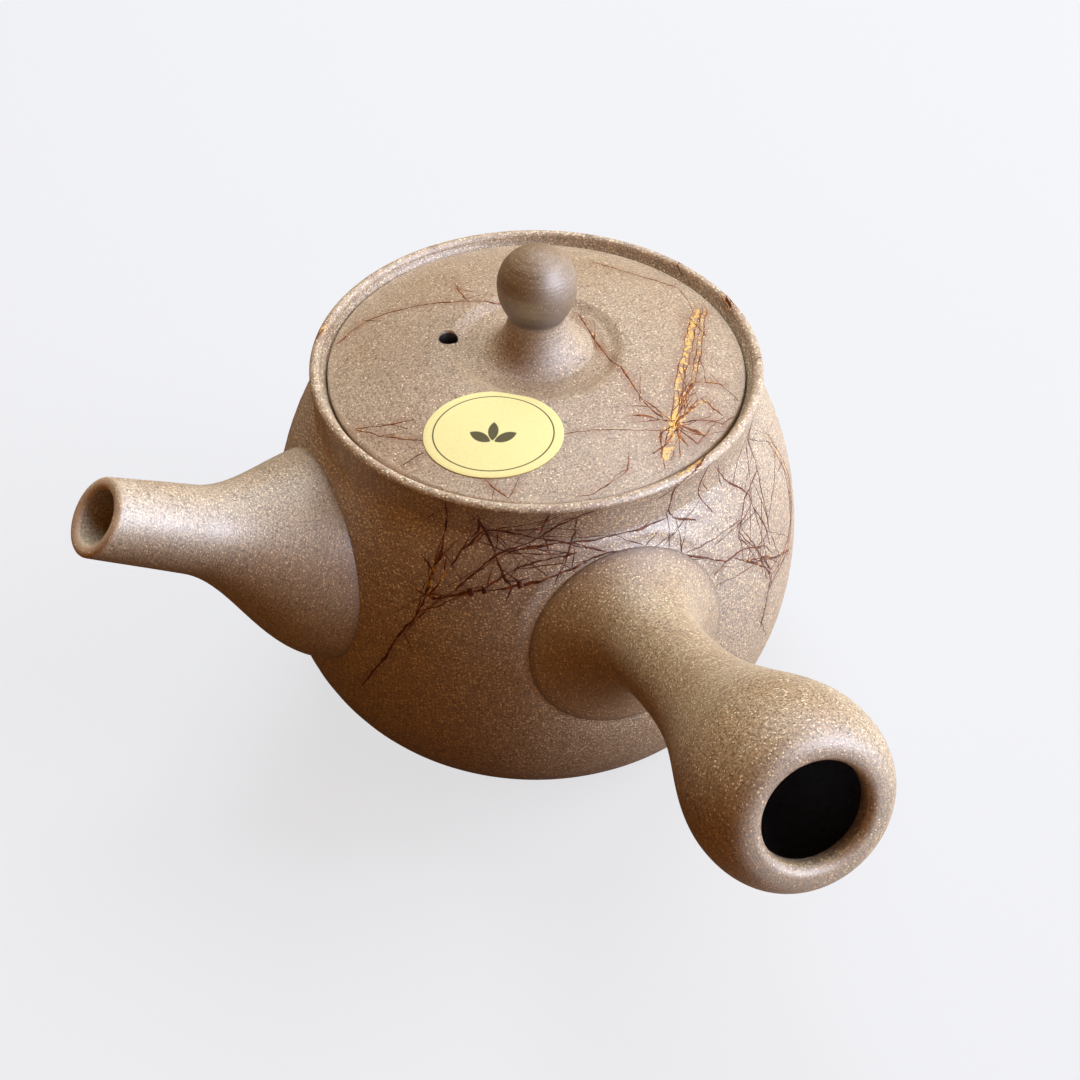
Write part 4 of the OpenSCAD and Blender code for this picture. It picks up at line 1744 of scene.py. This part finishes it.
@dataclass
class Studio:
    """Pale floor, soft window light and a camera at the photograph's angle."""

    target: tuple[float, float, float] = (0.859, -0.448, 28.413)
    azimuth: float = -27.557
    elevation: float = 44.083
    roll: float = 0.526
    distance: float = 346.907
    lens: float = 55.0
    sensor: float = 36.0
    clip_from: float = 0.01
    backdrop: str = "#f1f1f3"
    room: str = "#8f5a10"
    lit: str = "#c0c0c2"
    bounce: str = "#4a2c10"
    # Painted pool of window light on the floor, towards the window: a brighter bounce, and more of the backdrop in
    # the gloss
    painted_sun_pool_tone: str = "#b08a60"
    painted_sun_pool_way: tuple[float, float, float] = (0.82, -0.57, 0.0)
    painted_sun_pool_span: tuple[float, float] = (0.02, 0.11)
    sheen_share: float = 0.02
    glow_share: float = 0.8
    glow_span: tuple[float, float] = (0.35, 1.0)
    floor_r: float = 3.0

    def camera(self) -> None:
        """Sets up the camera."""
        a, e = math.radians(self.azimuth), math.radians(self.elevation)
        back = Vector((math.sin(a) * math.cos(e), -math.cos(a) * math.cos(e), math.sin(e)))
        right = Vector((math.cos(a), math.sin(a), 0))
        up = back.cross(right)
        turned = Matrix((right, up, back)).transposed() @ Matrix.Rotation(math.radians(self.roll), 3, "Z")
        deselect()
        bpy.ops.object.camera_add(location=(Vector(self.target) + back * self.distance) * MM,
                                  rotation=turned.to_euler())
        camera = bpy.context.object
        camera.data.lens = self.lens
        camera.data.sensor_width = self.sensor
        camera.data.clip_start = self.clip_from
        bpy.context.scene.camera = camera

    @staticmethod
    def seen(add: Adder, path: Node, sheen: Node | float) -> Node:
        """Adds the share of the rays that see the backdrop: the camera's, and some of the gloss.

        Args:
            add: What adds a node to the tree.
            path: Light path node of the tree.
            sheen: Share of the gloss.

        Returns:
            The node that gives the share.
        """
        glossy = add("Math", {0: path.outputs["Is Glossy Ray"], 1: sheen}, operation="MULTIPLY")
        shown = add("Math", {0: path.outputs["Is Camera Ray"], 1: glossy}, operation="MAXIMUM")
        return add("Math", {0: shown, 1: path.outputs["Is Transmission Ray"]}, operation="MAXIMUM")

    def light(self) -> None:
        """Sets up the lamps and the world."""
        for lamp in LAMPS:
            lamp.build()
        world = bpy.data.worlds.new("studio")
        bpy.context.scene.world = world
        world.use_nodes = True
        world.node_tree.nodes.clear()
        add = partial(add_node, world.node_tree)
        room, pale = (add("Background", {"Color": linear(tone), "Strength": 1.0})
                      for tone in (self.room, self.backdrop))
        shown = self.seen(add, add("LightPath"), self.sheen_share)
        add("OutputWorld", {"Surface": add("MixShader", {0: shown, 1: room, 2: pale})})

    def floor(self) -> None:
        """Lays a pale floor that keeps a faint shadow, and whose bounced light is dim and warm, with a painted
        pool of window light towards the window that brightens the bounce and what the gloss sees there.
        """
        deselect()
        bpy.ops.mesh.primitive_circle_add(vertices=96, radius=self.floor_r, fill_type="NGON")
        floor = bpy.context.object
        floor.name = "floor"
        material, add = new_material("pale_floor")
        path = add("LightPath")
        lit = add("BsdfDiffuse", {"Color": linear(self.lit)})
        glow = add("Emission", {"Color": linear(self.backdrop), "Strength": 1.0})
        place = add("TexCoord").outputs["Object"]
        far = add("VectorMath", {0: place}, operation="LENGTH").outputs["Value"]
        fade = add("MapRange", {"Value": far, "From Min": self.glow_span[0], "From Max": self.glow_span[1],
                                "To Min": self.glow_share, "To Max": 1.0}, interpolation_type="SMOOTHSTEP")
        share = add("Math", {0: path.outputs["Is Camera Ray"], 1: path.outputs["Is Glossy Ray"]},
                    operation="MAXIMUM")
        share = add("Math", {0: share, 1: fade}, operation="MULTIPLY")
        pale = add("MixShader", {0: share, 1: lit, 2: glow})
        # Painted pool of window light: brighter bounce and more backdrop in the gloss towards the window
        side = add("VectorMath", {0: place, 1: self.painted_sun_pool_way}, operation="DOT_PRODUCT").outputs["Value"]
        painted_sun_pool = add("MapRange", {"Value": side, "From Min": self.painted_sun_pool_span[0], "From Max": self.painted_sun_pool_span[1],
                                 "To Min": self.sheen_share, "To Max": 1.0}, interpolation_type="SMOOTHSTEP")
        warmth = add("Mix", {0: painted_sun_pool, 6: linear(self.bounce), 7: linear(self.painted_sun_pool_tone)}, data_type="RGBA")
        dull = add("BsdfDiffuse", {"Color": warmth.outputs[2]})
        mix = add("MixShader", {0: self.seen(add, path, painted_sun_pool), 1: dull, 2: pale})
        add("OutputMaterial", {"Surface": mix})
        floor.data.materials.append(material)

    def build(self) -> None:
        """Sets up the camera, the lamps and the floor."""
        self.camera()
        self.light()
        self.floor()
        bpy.context.scene.view_settings.view_transform = "Standard"


def main() -> None:
    """Builds the studio and every piece in order."""
    logging.basicConfig(level=logging.INFO, format="%(name)s: %(message)s")
    Studio().build()

    body = Body()
    spout = Spout(body, turn_deg=180.0, rise_deg=31.6, axis_z=18.5, length=41.9, thick=2.3, step=0.3, steps=128)
    handle = Handle(body, turn_deg=263.0, rise_deg=22.2, axis_z=32.2, length=70.9, thick=3.0, step=0.22, steps=144)
    body.build(spout, handle)
    spout.build()
    handle.build()
    lid = Lid()
    lid.build()
    knob = Knob(lid)
    knob.build()
    label = Label(lid)
    label.build()

    pot_threads = AshThreads("ash_threads_pot", [body.piece, spout.piece, handle.piece], POT_STRANDS, seed=7,
                             fibres=110, fullness=0.9)
    pot_threads.build()
    pot_threads.stain()
    lid_threads = AshThreads("ash_threads_lid", [lid.piece], LID_STRANDS, seed=11, fibres=8, fullness=0.65)
    lid_threads.build()
    lid_threads.stain()

    pot_clay = Stoneware("burnished_stoneware_body", grain_shade=3.6, grit_from=0.24).build()
    spout_clay = Stoneware("burnished_stoneware_spout", (0, 0, spout.axis_z), tuple(spout.frame().to_euler()),
                           clay="#a8957d", rust_share=0.35, grit_from=0.36).build()
    handle_clay = Stoneware("burnished_stoneware_handle", (0, 0, handle.axis_z),
                            tuple(handle.frame().to_euler()), clay="#9e8767", rust="#8f6d49",
                            grit_from=0.38).build()
    lid_clay = Stoneware("burnished_stoneware_lid", rust_share=0.35, line_shade=0.15, line_depth_mm=0.02,
                         grit_from=0.48).build()
    knob_clay = Stoneware("burnished_stoneware_knob", burnished="#6b5439", rust_share=0.35, roughness=0.58,
                          line_mm=0.7, line_shade=0.9, line_depth_mm=0.12, grit_from=0.45).build()
    pot_ash = BurntWeed("burnt_weed_ash_pot", dark="#3f170a", rust="#86431d").build()
    lid_ash = BurntWeed("burnt_weed_ash_lid").build()
    paper = LabelPaper(label.centre(), label.tilt_deg, label.half_l, label.half_w).build()

    seat(body.piece, Grip.POT, "stoneware", pot_clay, "body")
    seat(spout.piece, Grip.POT, "stoneware_spout", spout_clay, "spout")
    seat(handle.piece, Grip.POT, "stoneware_handle", handle_clay, "handle")
    seat(lid.piece, Grip.LID, "stoneware_lid", lid_clay, "lid")
    seat(knob.piece, Grip.LID, "stoneware_knob", knob_clay, "knob")
    seat(label.piece, Grip.LID, "label_paper", paper, "label")
    seat(pot_threads.piece, Grip.POT, "stoneware", pot_ash)
    seat(lid_threads.piece, Grip.LID, "stoneware_lid", lid_ash)
    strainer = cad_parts["strainer"]
    strainer.data.materials.clear()
    strainer.data.materials.append(pot_clay)
    LOG.info("strainer: the packed solid, dressed as the body")


if __name__ == "__main__":
    main()
